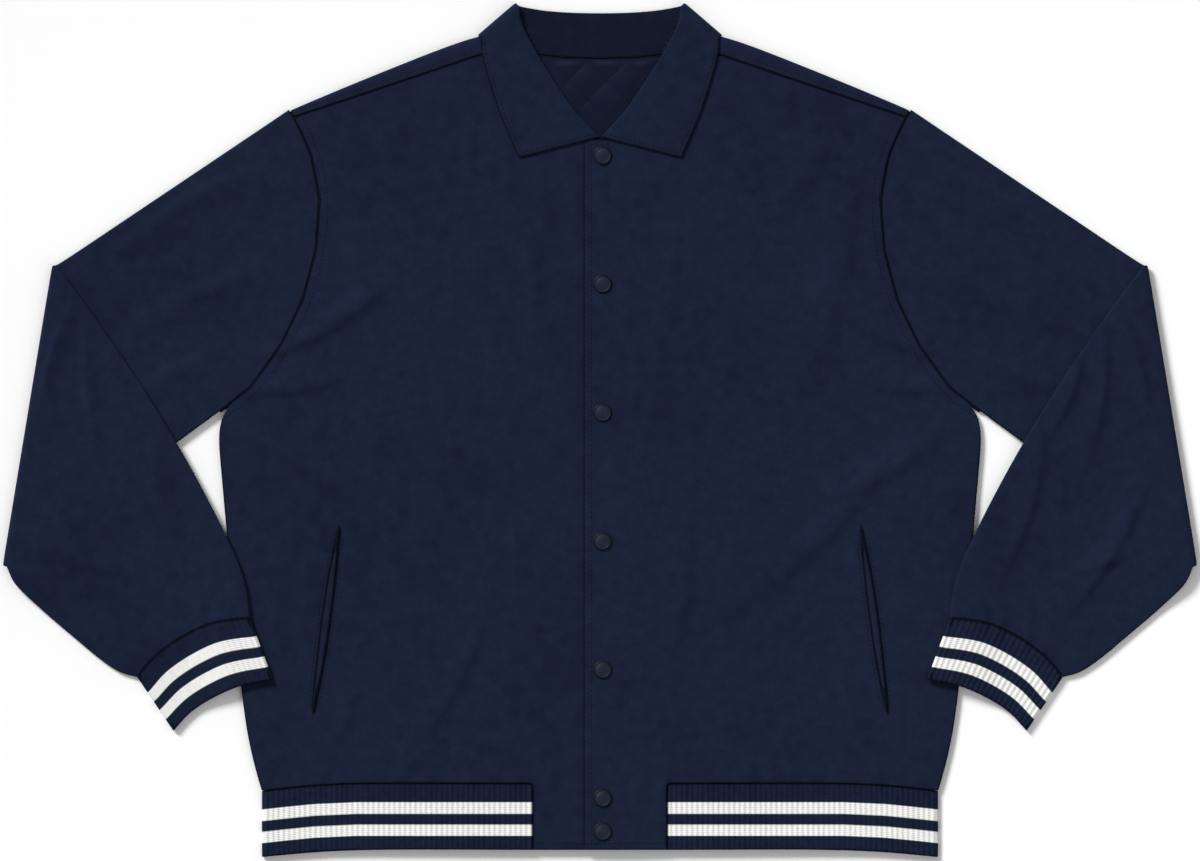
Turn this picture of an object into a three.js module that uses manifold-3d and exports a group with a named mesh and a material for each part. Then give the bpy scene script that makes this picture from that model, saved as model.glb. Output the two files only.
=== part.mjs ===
import * as THREE from "three";
import Module from "manifold-3d";

// Varsity jacket laid flat, front up, sleeves folded forward at the elbow.
// Millimetres. +X is the wearer's left, +Y is toward the collar, +Z is up from the surface it rests on.

const CLOTH = 2; // body and sleeve cloth
const SEAM = 0.3; // clearance between sewn pieces and between laid layers
const COLLAR_WALL = 1.6;
const LINING_WALL = 1.2;
const RIB_WALL = 2; // rib knit between its ribs
const RIB_RAISE = 0.5;
const RIB_PITCH = 4.5;
const QUILT_PITCH = 33.1; // diamond to diamond, across and along
const QUILT_RAISE = 1.2;
const CROWN = 2.4; // how far the front rises over the back in the middle of the body
const NECK_FRONT = 5.3; // underside of the fronts beside the collar
const NECK_BACK = 1.9; // underside of the back panel over the collar's back fall
const HEM_EDGE = -356.9; // lower edge of the fronts between the rib ends
const RIB_END = -57; // where each rib ends beside the placket
const RIB_DEPTH = 56.2;
const OVERLAP = 14.1; // the upper front reaches this far past the centre
const UNDERLAP = 18; // the lower front reaches this far past the centre
const SNAP_X = 2;
const SNAP_RADIUS = 7.75;
const SNAP_HEIGHT = 2.2;

const UPPER = CLOTH + SEAM; // underside of a tube's upper layer
const TUBE = 2 * CLOTH + SEAM; // a flattened tube's whole thickness
const HAIRPIN = (CLOTH + SEAM) / 2; // middle radius where a tube's two layers join
const ELBOW_Z = TUBE + SEAM / 2; // height of the line the sleeve folds about
const COLLAR_Z = 4.6; // height of the line the collar turns about at the sides
const FALL_R = COLLAR_Z - COLLAR_WALL / 2; // middle of the fall from that line
const STAND_R = FALL_R - COLLAR_WALL - SEAM; // middle of the stand from that line
const ROLL_R = (FALL_R - STAND_R) / 2; // middle radius of the roll between them

const table = (columns, rows) =>
  rows.map((row) => Object.fromEntries(columns.map((name, i) => [name, row[i]])));

// The wearer's right half. The other half is its mirror.
const ARMHOLE = table(["x", "y"], [
  [-264.4, 272.4],
  [-249.9, 244.8],
  [-241.4, 219.3],
  [-238, 191.3],
  [-238.9, 171.7],
  [-246.5, 129.2],
  [-256.7, 101.2],
  [-270.7, 73.1],
  [-286.8, 48.8],
  [-304.9, 28.7],
  [-326.4, 13.6],
]);
const SIDE = table(["x", "y"], [
  [-287.6, -306.9],
  [-293, -297.5],
  [-296.7, -281.4],
  [-299.3, -263.5],
  [-305.3, -219.3],
  [-317.1, -91.8],
  [-326.4, 13.6],
]);
const RIB_SEAM = table(["x", "y"], [
  [-287.6, -306.9],
  [-242.9, -302.3],
  [-207.1, -300.7],
  [-57, -300.7],
]);
// Shoulder from the arm to the neck: the fold at its top and the seam below it on the front.
const SHOULDER = table(["foldX", "foldY", "seamX", "seamY"], [
  [-262.6, 269.9, -260.3, 266],
  [-218, 288.2, -216, 280.6],
  [-174, 305.7, -172, 295.4],
  [-134, 321.4, -133, 308.5],
  [-108, 331, -107.5, 317.1],
  [-101.6, 331.9, -101.2, 319.2],
  [-94.9, 337.6, -84.8, 319.6],
]);
// Collar sections from the centre front round one side to the centre back:
// roll, outer edge of the fall and lower edge of the stand. Side is the section on the side fold.
const COLLAR = table(["at", "rollX", "rollY", "fallX", "fallY", "standX", "standY"], [
  ["front", -0.2, 249, -69.2, 231.3, -6, 247.5],
  ["front", -18.8, 268.3, -78, 251.5, -30.3, 265],
  ["front", -34, 289.6, -86.5, 272, -51, 284],
  ["front", -51.4, 317, -95.5, 300, -74.7, 308],
  ["front", -67.4, 347.3, -101, 322, -92, 329],
  ["side", -68.8, 360.3, -101.1, 332.5, -94.6, 338.1],
  ["back", -48, 356.6, -82, 319.5, -63, 320.5],
  ["back", -24, 354.8, -42, 302.2, -30, 316.8],
  ["back", 0, 354.4, 0, 297, 0, 315.4],
]);
const SLEEVE_TOP = table(["x", "y"], [[-264.4, 272.4], [-461.7, 139.9]]);
const SLEEVE_UNDERARM = table(["x", "y"], [[-326.4, 13.6], [-503.9, -116.3]]);
const FOREARM_INNER = table(["x", "y"], [
  [-461.7, 139.9],
  [-455.5, 132.5],
  [-428.7, 95.1],
  [-407, 63.9],
  [-385.3, 31.5],
  [-359.6, -10.6],
  [-342, -41.8],
  [-320.3, -83.8],
  [-308, -109.6],
  [-300, -129.9],
  [-295.3, -152.9],
  [-297.2, -159.7],
]);
const FOREARM_OUTER = table(["x", "y"], [
  [-503.9, -116.3],
  [-502.5, -125],
  [-474.7, -152.9],
  [-447.7, -176],
  [-423.3, -196.3],
  [-404.3, -208.5],
  [-393.6, -210],
]);
const CUFF_SEAM = table(["x", "y"], [
  [-297.2, -159.7],
  [-314.8, -161.1],
  [-333.8, -165.1],
  [-358.2, -177.3],
  [-380, -193.5],
  [-393.6, -210],
]);
const CUFF_END = table(["x", "y"], [
  [-277.7, -212.1],
  [-304, -217.2],
  [-325.7, -226.1],
  [-347.4, -239.6],
  [-362.8, -255.9],
]);
const WELT = table(["x", "y", "width"], [
  [-221.9, -82.7, 1],
  [-224.7, -102, 4],
  [-229, -132, 6.4],
  [-233, -161.2, 7],
  [-236.8, -190, 6.4],
  [-241.2, -220, 4],
  [-244, -239.7, 1],
]);
const SNAPS = table(["y"], [[233.5], [124.3], [15], [-94.4], [-203.5], [-312.7], [-341.2]]);

const lerp = (a, b, t) => a + (b - a) * t;
const mix = (p, q, t) => ({ x: lerp(p.x, q.x, t), y: lerp(p.y, q.y, t) });
const length = (p, q) => Math.hypot(q.x - p.x, q.y - p.y);
const smooth = (from, to, value) => THREE.MathUtils.smoothstep(value, from, to);
const flip = (points) => points.map((p) => ({ ...p, x: -p.x }));
const shifted = (points, dx, dy) => points.map((p) => ({ x: p.x + dx, y: p.y + dy }));

// Points at even steps along a smooth curve through the rows.
function run(rows, steps) {
  const through = rows.map((p) => new THREE.Vector3(p.x, p.y, 0));
  const curve = new THREE.CatmullRomCurve3(through, false, "centripetal");
  return curve.getSpacedPoints(steps).map(({ x, y }) => ({ x, y }));
}

const join = (...runs) => runs.reduce((all, next) => all.concat(next.slice(1)));

// The point at a distance along a chain of points.
function along(chain, distance) {
  let left = distance;
  for (let i = 1; i < chain.length; i++) {
    const step = length(chain[i - 1], chain[i]);
    if (left <= step || i === chain.length - 1) {
      return mix(chain[i - 1], chain[i], left / step);
    }
    left -= step;
  }
  return chain[0];
}

// x on a chain that rises in y, by height.
function xAt(chain, y) {
  for (let i = 1; i < chain.length; i++) {
    if (y <= chain[i].y || i === chain.length - 1) {
      const t = (y - chain[i - 1].y) / (chain[i].y - chain[i - 1].y);
      return lerp(chain[i - 1].x, chain[i].x, THREE.MathUtils.clamp(t, 0, 1));
    }
  }
  return chain[0].x;
}

// The armhole's points serve the back, the front and the sleeve alike.
const armhole = run(ARMHOLE, 40);
const ARM_STEPS = [0, 1, 3, 6, 11, 17, 23, 29, 35, 40].map((i) => armhole[i]);
ARM_STEPS[1] = { x: SHOULDER[0].seamX - SEAM / 2, y: SHOULDER[0].seamY };
const armUp = [...ARM_STEPS].reverse();
const sideUp = run(SIDE, 8);
const bodyEdge = join(sideUp, armUp);

// Height of the underside of the fronts, which crown over the back and rise toward the collar.
function frontZ(x, y) {
  const edge = Math.abs(xAt(bodyEdge, y));
  const t = Math.min(Math.abs(x) / edge, 1);
  const body = UPPER + CROWN * (1 - t ** 4);
  const plateau = smooth(190, 226, y) * (1 - smooth(112, 165, Math.abs(x)));
  return lerp(body, NECK_FRONT, plateau);
}

// Height of the underside of the back, which rises over the collar's fall.
function backZ(x, y) {
  const fallEdge = 297 + 38 * (Math.abs(x) / 104) ** 2.2;
  return NECK_BACK * smooth(fallEdge - 52, fallEdge - 9, y);
}

// How far the upper front lies above the lower one at the placket.
const lift = (x) => (CLOTH + SEAM) * (1 - smooth(18, 105, x));

// A closed wall between two grids of points. Cells that keep() refuses are left out.
function shell(outer, inner, { closed = false, keep = () => true } = {}) {
  const rows = outer.length;
  const cols = outer[0].length;
  const lastCol = closed ? cols : cols - 1;
  const positions = [];
  const index = [];
  [outer, inner].forEach((grid) => grid.forEach((row) => row.forEach((p) => positions.push(...p))));
  const at = (layer, i, j) => layer * rows * cols + i * cols + (j % cols);
  const kept = (i, j) => {
    const column = closed ? (j + cols) % cols : j;
    return i >= 0 && i < rows - 1 && column >= 0 && column < lastCol && keep(i, column);
  };
  const quad = (a, b, c, d) => index.push(a, b, c, a, c, d);
  for (let i = 0; i < rows - 1; i++) {
    for (let j = 0; j < lastCol; j++) {
      if (!kept(i, j)) continue;
      quad(at(0, i, j), at(0, i, j + 1), at(0, i + 1, j + 1), at(0, i + 1, j));
      quad(at(1, i, j), at(1, i + 1, j), at(1, i + 1, j + 1), at(1, i, j + 1));
      if (!kept(i - 1, j)) quad(at(0, i, j), at(1, i, j), at(1, i, j + 1), at(0, i, j + 1));
      if (!kept(i + 1, j)) {
        quad(at(0, i + 1, j + 1), at(1, i + 1, j + 1), at(1, i + 1, j), at(0, i + 1, j));
      }
      if (!kept(i, j - 1)) quad(at(0, i + 1, j), at(1, i + 1, j), at(1, i, j), at(0, i, j));
      if (!kept(i, j + 1)) {
        quad(at(0, i, j + 1), at(1, i, j + 1), at(1, i + 1, j + 1), at(0, i + 1, j + 1));
      }
    }
  }
  let sixVolumes = 0;
  const corner = (k) => new THREE.Vector3().fromArray(positions, 3 * index[k]);
  for (let k = 0; k < index.length; k += 3) {
    sixVolumes += corner(k).dot(corner(k + 1).cross(corner(k + 2)));
  }
  if (sixVolumes < 0) index.reverse();
  const geometry = new THREE.BufferGeometry();
  geometry.setAttribute("position", new THREE.Float32BufferAttribute(positions, 3));
  geometry.setIndex(index);
  return geometry;
}

const fractions = (chain) => {
  const sums = [0];
  for (let i = 1; i < chain.length; i++) sums.push(sums[i - 1] + length(chain[i - 1], chain[i]));
  return sums.map((s) => s / sums.at(-1));
};

// Grid of plan points filled in between four edges: rows run from low to high.
function patch(low, high, left, right) {
  const [fl, fh, fa, fb] = [low, high, left, right].map(fractions);
  const add = (terms, key) => terms.reduce((sum, [w, p]) => sum + w * p[key], 0);
  return left.map((a, i) =>
    low.map((b, j) => {
      const v0 = (fa[i] + fb[i]) / 2;
      const u = lerp(fl[j], fh[j], v0);
      const v = lerp(fa[i], fb[i], u);
      const terms = [
        [1 - v, b],
        [v, high[j]],
        [1 - u, a],
        [u, right[i]],
        [-(1 - u) * (1 - v), low[0]],
        [-u * (1 - v), low.at(-1)],
        [-(1 - u) * v, high[0]],
        [-u * v, high.at(-1)],
      ];
      return { x: add(terms, "x"), y: add(terms, "y") };
    }),
  );
}

const raised = (grid, z) => grid.map((row) => row.map((p) => [p.x, p.y, z(p.x, p.y)]));
const mirrored = (grid) => grid.map((row) => row.map(([x, y, z]) => [-x, y, z]));

// Flattened tube. Each station is a chain of plan points with a turn about the fold line:
// -90 degrees lies under it, 90 degrees over it.
function tube(stations, { wall, raise = () => 0, steps = 4 }) {
  const rings = stations.map(({ chain, turn, out, centre, drop }) => {
    const total = chain.slice(1).reduce((sum, p, i) => sum + length(chain[i], p), 0);
    const mid = HAIRPIN;
    const ends = [along(chain, mid + wall / 2), along(chain, total - mid - wall / 2)];
    const flat = [ends[0], ...chain.slice(1, -1), ends[1]];
    const unit = (p, q) => mix({ x: 0, y: 0 }, { x: q.x - p.x, y: q.y - p.y }, 1 / length(p, q));
    const heads = [unit(flat[1], flat[0]), unit(flat.at(-2), flat.at(-1))];
    const low = centre - mid;
    const high = centre + mid;
    const place = (p, rho) => {
      const angle = THREE.MathUtils.degToRad(turn);
      const reach = rho * Math.cos(angle);
      const x = p.x + out.x * reach;
      const y = p.y + out.y * reach;
      return [x, y, ELBOW_Z + rho * Math.sin(angle) - drop(x, y)];
    };
    const ring = (side) => {
      const points = [];
      flat.forEach((p, k) => points.push(place(p, high + side * (wall / 2 + raise(k)))));
      for (let s = 1; s < steps; s++) {
        const a = (Math.PI * s) / steps;
        const r = mid + (side * wall) / 2;
        const p = flat.at(-1);
        const tip = { x: p.x + heads[1].x * r * Math.sin(a), y: p.y + heads[1].y * r * Math.sin(a) };
        points.push(place(tip, centre + r * Math.cos(a)));
      }
      [...flat].reverse().forEach((p) => points.push(place(p, low - (side * wall) / 2)));
      for (let s = 1; s < steps; s++) {
        const a = (Math.PI * s) / steps;
        const r = mid + (side * wall) / 2;
        const p = flat[0];
        const tip = { x: p.x + heads[0].x * r * Math.sin(a), y: p.y + heads[0].y * r * Math.sin(a) };
        points.push(place(tip, centre - r * Math.cos(a)));
      }
      return points;
    };
    return { outer: ring(1), inner: ring(-1) };
  });
  return { outer: rings.map((r) => r.outer), inner: rings.map((r) => r.inner) };
}

const SECTION_KEYS = ["rollX", "rollY", "fallX", "fallY", "standX", "standY"];

// Collar sections at even steps along some of its rows.
function sections(rows, steps) {
  const columns = SECTION_KEYS.map((key) => {
    const points = rows.map((row, i) => new THREE.Vector3(i, row[key], 0));
    return new THREE.CatmullRomCurve3(points, false, "centripetal");
  });
  return Array.from({ length: steps + 1 }, (_, s) =>
    Object.fromEntries(SECTION_KEYS.map((key, k) => [key, columns[k].getPoint(s / steps).y])),
  );
}

const sideIndex = COLLAR.findIndex((row) => row.at === "side");
const frontSections = sections(COLLAR.slice(0, sideIndex + 1), 10);
const backSections = sections(COLLAR.slice(sideIndex), 6);
const standPoints = (list) => list.map((s) => ({ x: s.standX, y: s.standY }));
const frontStand = shifted(standPoints(frontSections), -SEAM * 0.75, -SEAM * 0.75);
const backStand = shifted(standPoints(backSections), 0, -SEAM);
const SHOULDER_STEPS = SHOULDER.length - 1;
const NECK_JOIN = 7; // the shoulder seam meets the neckline at this front section

// Back panel: flat rows, then the turn over the shoulder and the strip down to the shoulder seam.
function backPanel() {
  const shoulder = SHOULDER.map((s) => ({ x: s.foldX, y: s.foldY }));
  const seam = SHOULDER.map((s) => ({ x: s.seamX, y: s.seamY + SEAM / 2 }));
  const half = join(shoulder, backStand);
  const top = join(half, [...flip(half)].reverse());
  const count = top.length - 1;
  const seamHalf = run(RIB_SEAM.concat([{ x: 0, y: -300.7 }]), count / 2);
  const hem = shifted(join(seamHalf, [...flip(seamHalf)].reverse()), 0, SEAM / 2);
  const left = join(sideUp, armUp.slice(0, -1).concat([shoulder[0]]));
  left[0] = hem[0];
  const inward = (p, i) => ({ x: p.x + (i < left.length - 1 && i > 0 ? SEAM / 2 : 0), y: p.y });
  const edge = left.map(inward);
  const plan = patch(hem, top, edge, flip(edge));
  const flatRows = plan.length;
  const lower = raised(plan, backZ);
  const upper = raised(plan, (x, y) => backZ(x, y) + CLOTH);
  const turns = [-45, 0, 45, 90];
  const side = top.map((p, j) => {
    const i = Math.min(j, count - j);
    if (i > SHOULDER_STEPS) return null;
    const before = shoulder[Math.max(i - 1, 0)];
    const after = shoulder[Math.min(i + 1, SHOULDER_STEPS)];
    const size = length(before, after);
    const sign = j > count / 2 ? -1 : 1;
    const down = i < SHOULDER_STEPS
      ? [1, 2, 3].map((k) => mix(shoulder[i], seam[i], k / 3))
      : shifted([9, 8, NECK_JOIN].map((k) => frontStand[k]), 0, SEAM / 2);
    return {
      p,
      strip: down.map((q) => ({ x: sign * q.x, y: q.y })),
      out: { x: (sign * -(after.y - before.y)) / size, y: (after.x - before.x) / size },
    };
  });
  const row = (make) => side.map((s, j) => (s ? make(s) : [top[j].x, top[j].y, 0]));
  const radius = (p) => (frontZ(p.x, p.y) - backZ(p.x, p.y)) / 2;
  turns.forEach((degrees) => {
    const angle = THREE.MathUtils.degToRad(degrees);
    [1, -1].forEach((face) => {
      const made = row(({ p, out }) => {
        const r = radius(p) + (face * CLOTH) / 2;
        const reach = r * Math.cos(angle);
        const z = (frontZ(p.x, p.y) + backZ(p.x, p.y) + CLOTH) / 2 + r * Math.sin(angle);
        return [p.x + out.x * reach, p.y + out.y * reach, z];
      });
      (face > 0 ? lower : upper).push(made);
    });
  });
  [0, 1, 2].forEach((k) => {
    [1, 0].forEach((face) => {
      const made = row(({ strip }) => {
        const { x, y } = strip[k];
        return [x, y, frontZ(x, y) + face * CLOTH];
      });
      (face > 0 ? lower : upper).push(made);
    });
  });
  const keep = (i, j) => i < flatRows - 1 || j < SHOULDER_STEPS || j >= count - SHOULDER_STEPS;
  return shell(lower, upper, { keep });
}

// A front, drawn on the wearer's right: reach is how far it passes the centre.
function frontGrid(reach) {
  const seam = SHOULDER.map((s) => ({ x: s.seamX, y: s.seamY - SEAM / 2 }));
  const neck = frontStand.slice(0, NECK_JOIN + 1).reverse();
  neck[0].y -= SEAM / 2;
  seam[seam.length - 1] = neck[0];
  const topY = (x) => 248.2 - 0.25 * Math.abs(x);
  const centre = [-6.3, reach / 3, (2 * reach) / 3, reach].map((x) => ({ x, y: topY(x) }));
  centre[0] = neck.at(-1);
  const top = join(seam, neck, centre);
  const tabColumns = 6;
  const rib = run(RIB_SEAM, top.length - 1 - tabColumns);
  rib[rib.length - 1] = { x: RIB_END + SEAM / 2, y: -300.7 };
  const tab = run([rib.at(-1), { x: reach, y: -300.7 }], tabColumns);
  const hem = shifted(join(rib, tab), 0, SEAM / 2);
  const left = join(sideUp, armUp.slice(0, -1)).map((p) => ({ x: p.x + SEAM / 2, y: p.y }));
  left[0] = hem[0];
  left[left.length - 1] = top[0];
  const right = run([hem.at(-1), top.at(-1)], left.length - 1);
  const plan = patch(hem, top, left, right);
  const below = [0, 0.5].map((t) => plan[0].map((p) => ({ x: p.x, y: lerp(HEM_EDGE, p.y, t) })));
  return { plan: [...below, ...plan], firstTab: top.length - 1 - tabColumns };
}

function frontPanel(side, reach) {
  const { plan, firstTab } = frontGrid(reach);
  const rise = (x) => (side > 0 ? lift(-x) : 0);
  const lower = raised(plan, (x, y) => frontZ(x, y) + rise(x));
  const upper = raised(plan, (x, y) => frontZ(x, y) + rise(x) + CLOTH);
  const keep = (i, j) => i > 1 || j >= firstTab;
  return side > 0 ? shell(mirrored(upper), mirrored(lower), { keep }) : shell(upper, lower, { keep });
}

const under = { x: SLEEVE_UNDERARM[1].x - SLEEVE_UNDERARM[0].x, y: SLEEVE_UNDERARM[1].y - SLEEVE_UNDERARM[0].y };
const underLength = Math.hypot(under.x, under.y);

// Height of the underside of the folded forearm: over the upper sleeve, down to the surface, up over the body.
function forearmZ(x, y) {
  const from = SLEEVE_UNDERARM[0];
  const beyond = ((x - from.x) * -under.y - (y - from.y) * -under.x) / underLength;
  const floor = (TUBE + SEAM) * (1 - smooth(3, 50, beyond));
  const edge = xAt(sideUp, y);
  const over = smooth(-42, -5, x - edge);
  return lerp(floor, frontZ(Math.max(x, edge), y) + CLOTH + 0.6, over);
}

const CREASE_OUT = { x: -0.987, y: 0.162 };
const ringCentre = { inner: ELBOW_Z - TUBE / 2 };

function sleeve(side) {
  const across = ARM_STEPS.length - 1;
  const crease = run([SLEEVE_TOP[1], SLEEVE_UNDERARM[1]], across);
  const hole = shifted(ARM_STEPS, -SEAM / 2, 0);
  const upperRows = 6;
  const upper = patch(hole, crease, run(SLEEVE_TOP, upperRows), run(SLEEVE_UNDERARM, upperRows));
  upper[0] = hole;
  const lowerRows = 11;
  const seam = shifted(run(CUFF_SEAM, across), -0.06, SEAM / 2);
  const lower = patch(crease, seam, run(FOREARM_INNER, lowerRows), run(FOREARM_OUTER, lowerRows));
  const flat = (turn, drop) => (chain) => ({ chain, turn, out: CREASE_OUT, centre: ringCentre.inner, drop });
  const none = () => 0;
  const stations = [
    ...upper.slice(0, -1).map(flat(-90, none)),
    ...[-90, -45, 0, 45, 90].map((turn) => flat(turn, none)(crease)),
    ...lower.slice(1).map(flat(90, (x, y) => TUBE + SEAM - forearmZ(x, y))),
  ];
  const { outer, inner } = tube(stations, { wall: CLOTH });
  return side > 0
    ? shell(mirrored(outer), mirrored(inner), { closed: true })
    : shell(outer, inner, { closed: true });
}

function cuff(side) {
  const ribs = Math.round(100 / RIB_PITCH);
  const across = 2 * ribs;
  const rows = [0, 0.5, 1];
  const sewn = shifted(run(CUFF_SEAM, ARM_STEPS.length - 1), 0.06, -SEAM / 2);
  const sewnLength = sewn.slice(1).reduce((sum, p, i) => sum + length(sewn[i], p), 0);
  const seam = Array.from({ length: across + 1 }, (_, k) => along(sewn, (sewnLength * k) / across));
  const end = run(CUFF_END, across);
  const stations = rows.map((t) => ({
    chain: seam.map((p, k) => mix(p, end[k], t)),
    turn: 90,
    out: CREASE_OUT,
    centre: ringCentre.inner,
    drop: (x, y) => TUBE + SEAM - forearmZ(x, y),
  }));
  const raise = (k) => (k % 2 ? RIB_RAISE : 0);
  const made = tube(stations, { wall: RIB_WALL, raise });
  const plain = tube(stations, { wall: RIB_WALL });
  return side > 0
    ? shell(mirrored(made.outer), mirrored(plain.inner), { closed: true })
    : shell(made.outer, plain.inner, { closed: true });
}

// Hem rib: one band from the placket round the back to the placket.
function hemRib() {
  const inset = HAIRPIN + RIB_WALL / 2;
  const edgeX = RIB_SEAM[0].x + inset;
  const seamChain = run(RIB_SEAM, 40).concat([{ x: 0, y: RIB_SEAM.at(-1).y }]);
  const seamY = (x) => {
    const i = Math.max(1, seamChain.findIndex((p) => p.x >= x));
    const t = (x - seamChain[i - 1].x) / (seamChain[i].x - seamChain[i - 1].x);
    return lerp(seamChain[i - 1].y, seamChain[i].y, THREE.MathUtils.clamp(t, 0, 1));
  };
  const topY = (x) => seamY(-Math.abs(x)) - SEAM / 2;
  const lowY = (x) => topY(x) - RIB_DEPTH + SEAM / 2;
  const start = RIB_END - SEAM / 2;
  const columns = 2 * Math.round((start - edgeX) / RIB_PITCH);
  const stations = [];
  const half = [];
  for (let k = 0; k <= columns; k++) {
    half.push({ x: lerp(start, edgeX, k / columns), face: "front", raise: k % 2 ? RIB_RAISE : 0 });
  }
  [45, 0, -45].forEach((turn) => half.push({ x: edgeX, face: "turn", turn, raise: 0 }));
  for (let k = 0; k < 6; k++) half.push({ x: lerp(edgeX, 0, k / 6), face: "back", raise: 0 });
  half.forEach((s) => stations.push({ ...s, sign: 1 }));
  stations.push({ x: 0, face: "back", raise: 0, sign: 1 });
  [...half].reverse().forEach((s) => stations.push({ ...s, sign: -1 }));
  const point = (s, out, low) => {
    const y = low ? lowY(s.x) : topY(s.x);
    const half0 = (out ? 1 : -1) * (RIB_WALL / 2);
    const extra = out ? s.raise : 0;
    if (s.face === "back") return [s.sign * s.x, y, RIB_WALL / 2 - half0];
    if (s.face === "front") {
      const z = s.x === edgeX ? UPPER : frontZ(s.x, -300.7);
      return [s.sign * s.x, y, z + RIB_WALL / 2 + half0 + extra];
    }
    const angle = THREE.MathUtils.degToRad(s.turn);
    const r = HAIRPIN + half0;
    return [s.sign * (s.x - r * Math.cos(angle)), y, TUBE / 2 + r * Math.sin(angle)];
  };
  const grid = (out) => [true, false].map((low) => stations.map((s) => point(s, out, low)));
  return shell(grid(true), grid(false));
}

// Collar: sections of stand, roll and fall, carried from the centre front round the back.
function collar() {
  const front = frontSections.map((s) => ({ ...s, turn: 90 }));
  const back = backSections.map((s) => ({ ...s, turn: -90 }));
  const turning = [54, 18, -18, -54].map((turn) => ({ ...COLLAR[sideIndex], turn }));
  const half = [...front, ...turning, ...back];
  const around = [
    ...half.map((s) => ({ ...s, sign: 1 })),
    ...[...half].reverse().slice(1).map((s) => ({ ...s, sign: -1 })),
  ];
  const out = { x: -0.652, y: 0.758 };
  const arc = [0, 0.25, 0.5, 0.75, 1];
  const section = (s, face) => {
    const roll = { x: s.rollX, y: s.rollY };
    const fall = { x: s.fallX, y: s.fallY };
    const stand = { x: s.standX, y: s.standY };
    const inset = ROLL_R + COLLAR_WALL / 2;
    const reach = (to, from, t) => {
      const size = length(roll, to);
      return mix(roll, to, lerp(from, size, t) / size);
    };
    const half0 = (face * COLLAR_WALL) / 2;
    const points = [];
    [1, 0.75, 0.5, 0.25, 0].forEach((t) => {
      points.push({ p: reach(fall, inset, t), rho: FALL_R + half0 });
    });
    const a0 = reach(fall, inset, 0);
    const b0 = reach(stand, inset, 0);
    arc.slice(1, -1).forEach((t) => {
      const angle = Math.PI * t;
      const base = mix(a0, b0, t);
      const r = (ROLL_R + half0) * Math.sin(angle);
      const size = length(base, roll);
      const p = mix(base, roll, r / size);
      points.push({ p, rho: STAND_R + ROLL_R + (ROLL_R + half0) * Math.cos(angle) });
    });
    [0, 0.5, 1].forEach((t) => points.push({ p: reach(stand, inset, t), rho: STAND_R - half0 }));
    const angle = THREE.MathUtils.degToRad(s.turn);
    return points.map(({ p, rho }) => {
      const x = s.sign * (p.x + out.x * rho * Math.cos(angle));
      const y = p.y + out.y * rho * Math.cos(angle);
      const up = s.turn > 0 && s.sign < 0 ? lift(x) * 1.06 : 0;
      return [x, y, COLLAR_Z + rho * Math.sin(angle) + up];
    });
  };
  return shell(around.map((s) => section(s, 1)), around.map((s) => section(s, -1)));
}

const wasm = await Module();
wasm.setup();

function solidOf(geometry) {
  const { index, attributes } = geometry;
  const mesh = new wasm.Mesh({
    numProp: 3,
    vertProperties: new Float32Array(attributes.position.array),
    triVerts: new Uint32Array(index.array),
  });
  return new wasm.Manifold(mesh);
}

function geometryOf(solid) {
  const mesh = solid.getMesh();
  const geometry = new THREE.BufferGeometry();
  geometry.setAttribute("position", new THREE.BufferAttribute(new Float32Array(mesh.vertProperties), 3));
  geometry.setIndex(new THREE.BufferAttribute(new Uint32Array(mesh.triVerts), 1));
  return geometry;
}

// Quilted lining over the back panel, cut to the neck opening with a margin under the collar.
function liningBack() {
  const step = QUILT_PITCH / 4;
  const crossing = { x: 6.1, y: 297.4 };
  const cols = 9;
  const rows = { first: -8, last: 3 };
  const baseZ = (x, y) => NECK_BACK + CLOTH + SEAM - 0.03 * Math.max(0, 285 - y);
  const raise = (x, y) => {
    const roll = 249 + (317 - 249) * Math.min(1, Math.abs(x) / 51.4) ** 1.1;
    const inside = smooth(2, 16, y - roll) * (1 - smooth(306, 315, y));
    return lerp(0.1, QUILT_RAISE, inside);
  };
  const positions = [[], []];
  for (let j = rows.first; j <= rows.last; j++) {
    const top = [];
    const low = [];
    for (let i = -cols; i <= cols; i++) {
      const x = crossing.x + i * step;
      const y = crossing.y + j * step;
      const a = Math.abs((((i + j) % 4) + 4) % 4 - 2) / 2;
      const b = Math.abs((((i - j) % 4) + 4) % 4 - 2) / 2;
      const puff = (1 - a) * (1 - b);
      const z = baseZ(x, y);
      low.push([x, y, z]);
      top.push([x, y, z + LINING_WALL + raise(x, y) * Math.sqrt(puff)]);
    }
    positions[0].push(top);
    positions[1].push(low);
  }
  const slab = solidOf(shell(positions[0], positions[1]));
  const outline = new THREE.Shape();
  const half = table(["x", "y"], [[0, 238], [25, 260], [44, 284], [65, 306], [65, 315]]);
  half.forEach(({ x, y }, i) => (i ? outline.lineTo(x, y) : outline.moveTo(x, y)));
  [...half].reverse().slice(0, -1).forEach(({ x, y }) => outline.lineTo(-x, y));
  const prism = new THREE.ExtrudeGeometry(outline, { depth: 20, bevelEnabled: false });
  prism.deleteAttribute("normal");
  prism.deleteAttribute("uv");
  const points = prism.attributes.position;
  const seen = new Map();
  const kept = [];
  const triVerts = [];
  for (let k = 0; k < points.count; k++) {
    const key = [points.getX(k), points.getY(k), points.getZ(k)].map((n) => n.toFixed(4)).join();
    if (!seen.has(key)) {
      seen.set(key, kept.length / 3);
      kept.push(points.getX(k), points.getY(k), points.getZ(k));
    }
    triVerts.push(seen.get(key));
  }
  const cutter = new THREE.BufferGeometry();
  cutter.setAttribute("position", new THREE.Float32BufferAttribute(kept, 3));
  cutter.setIndex(triVerts);
  return geometryOf(slab.intersect(solidOf(cutter)));
}

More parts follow.
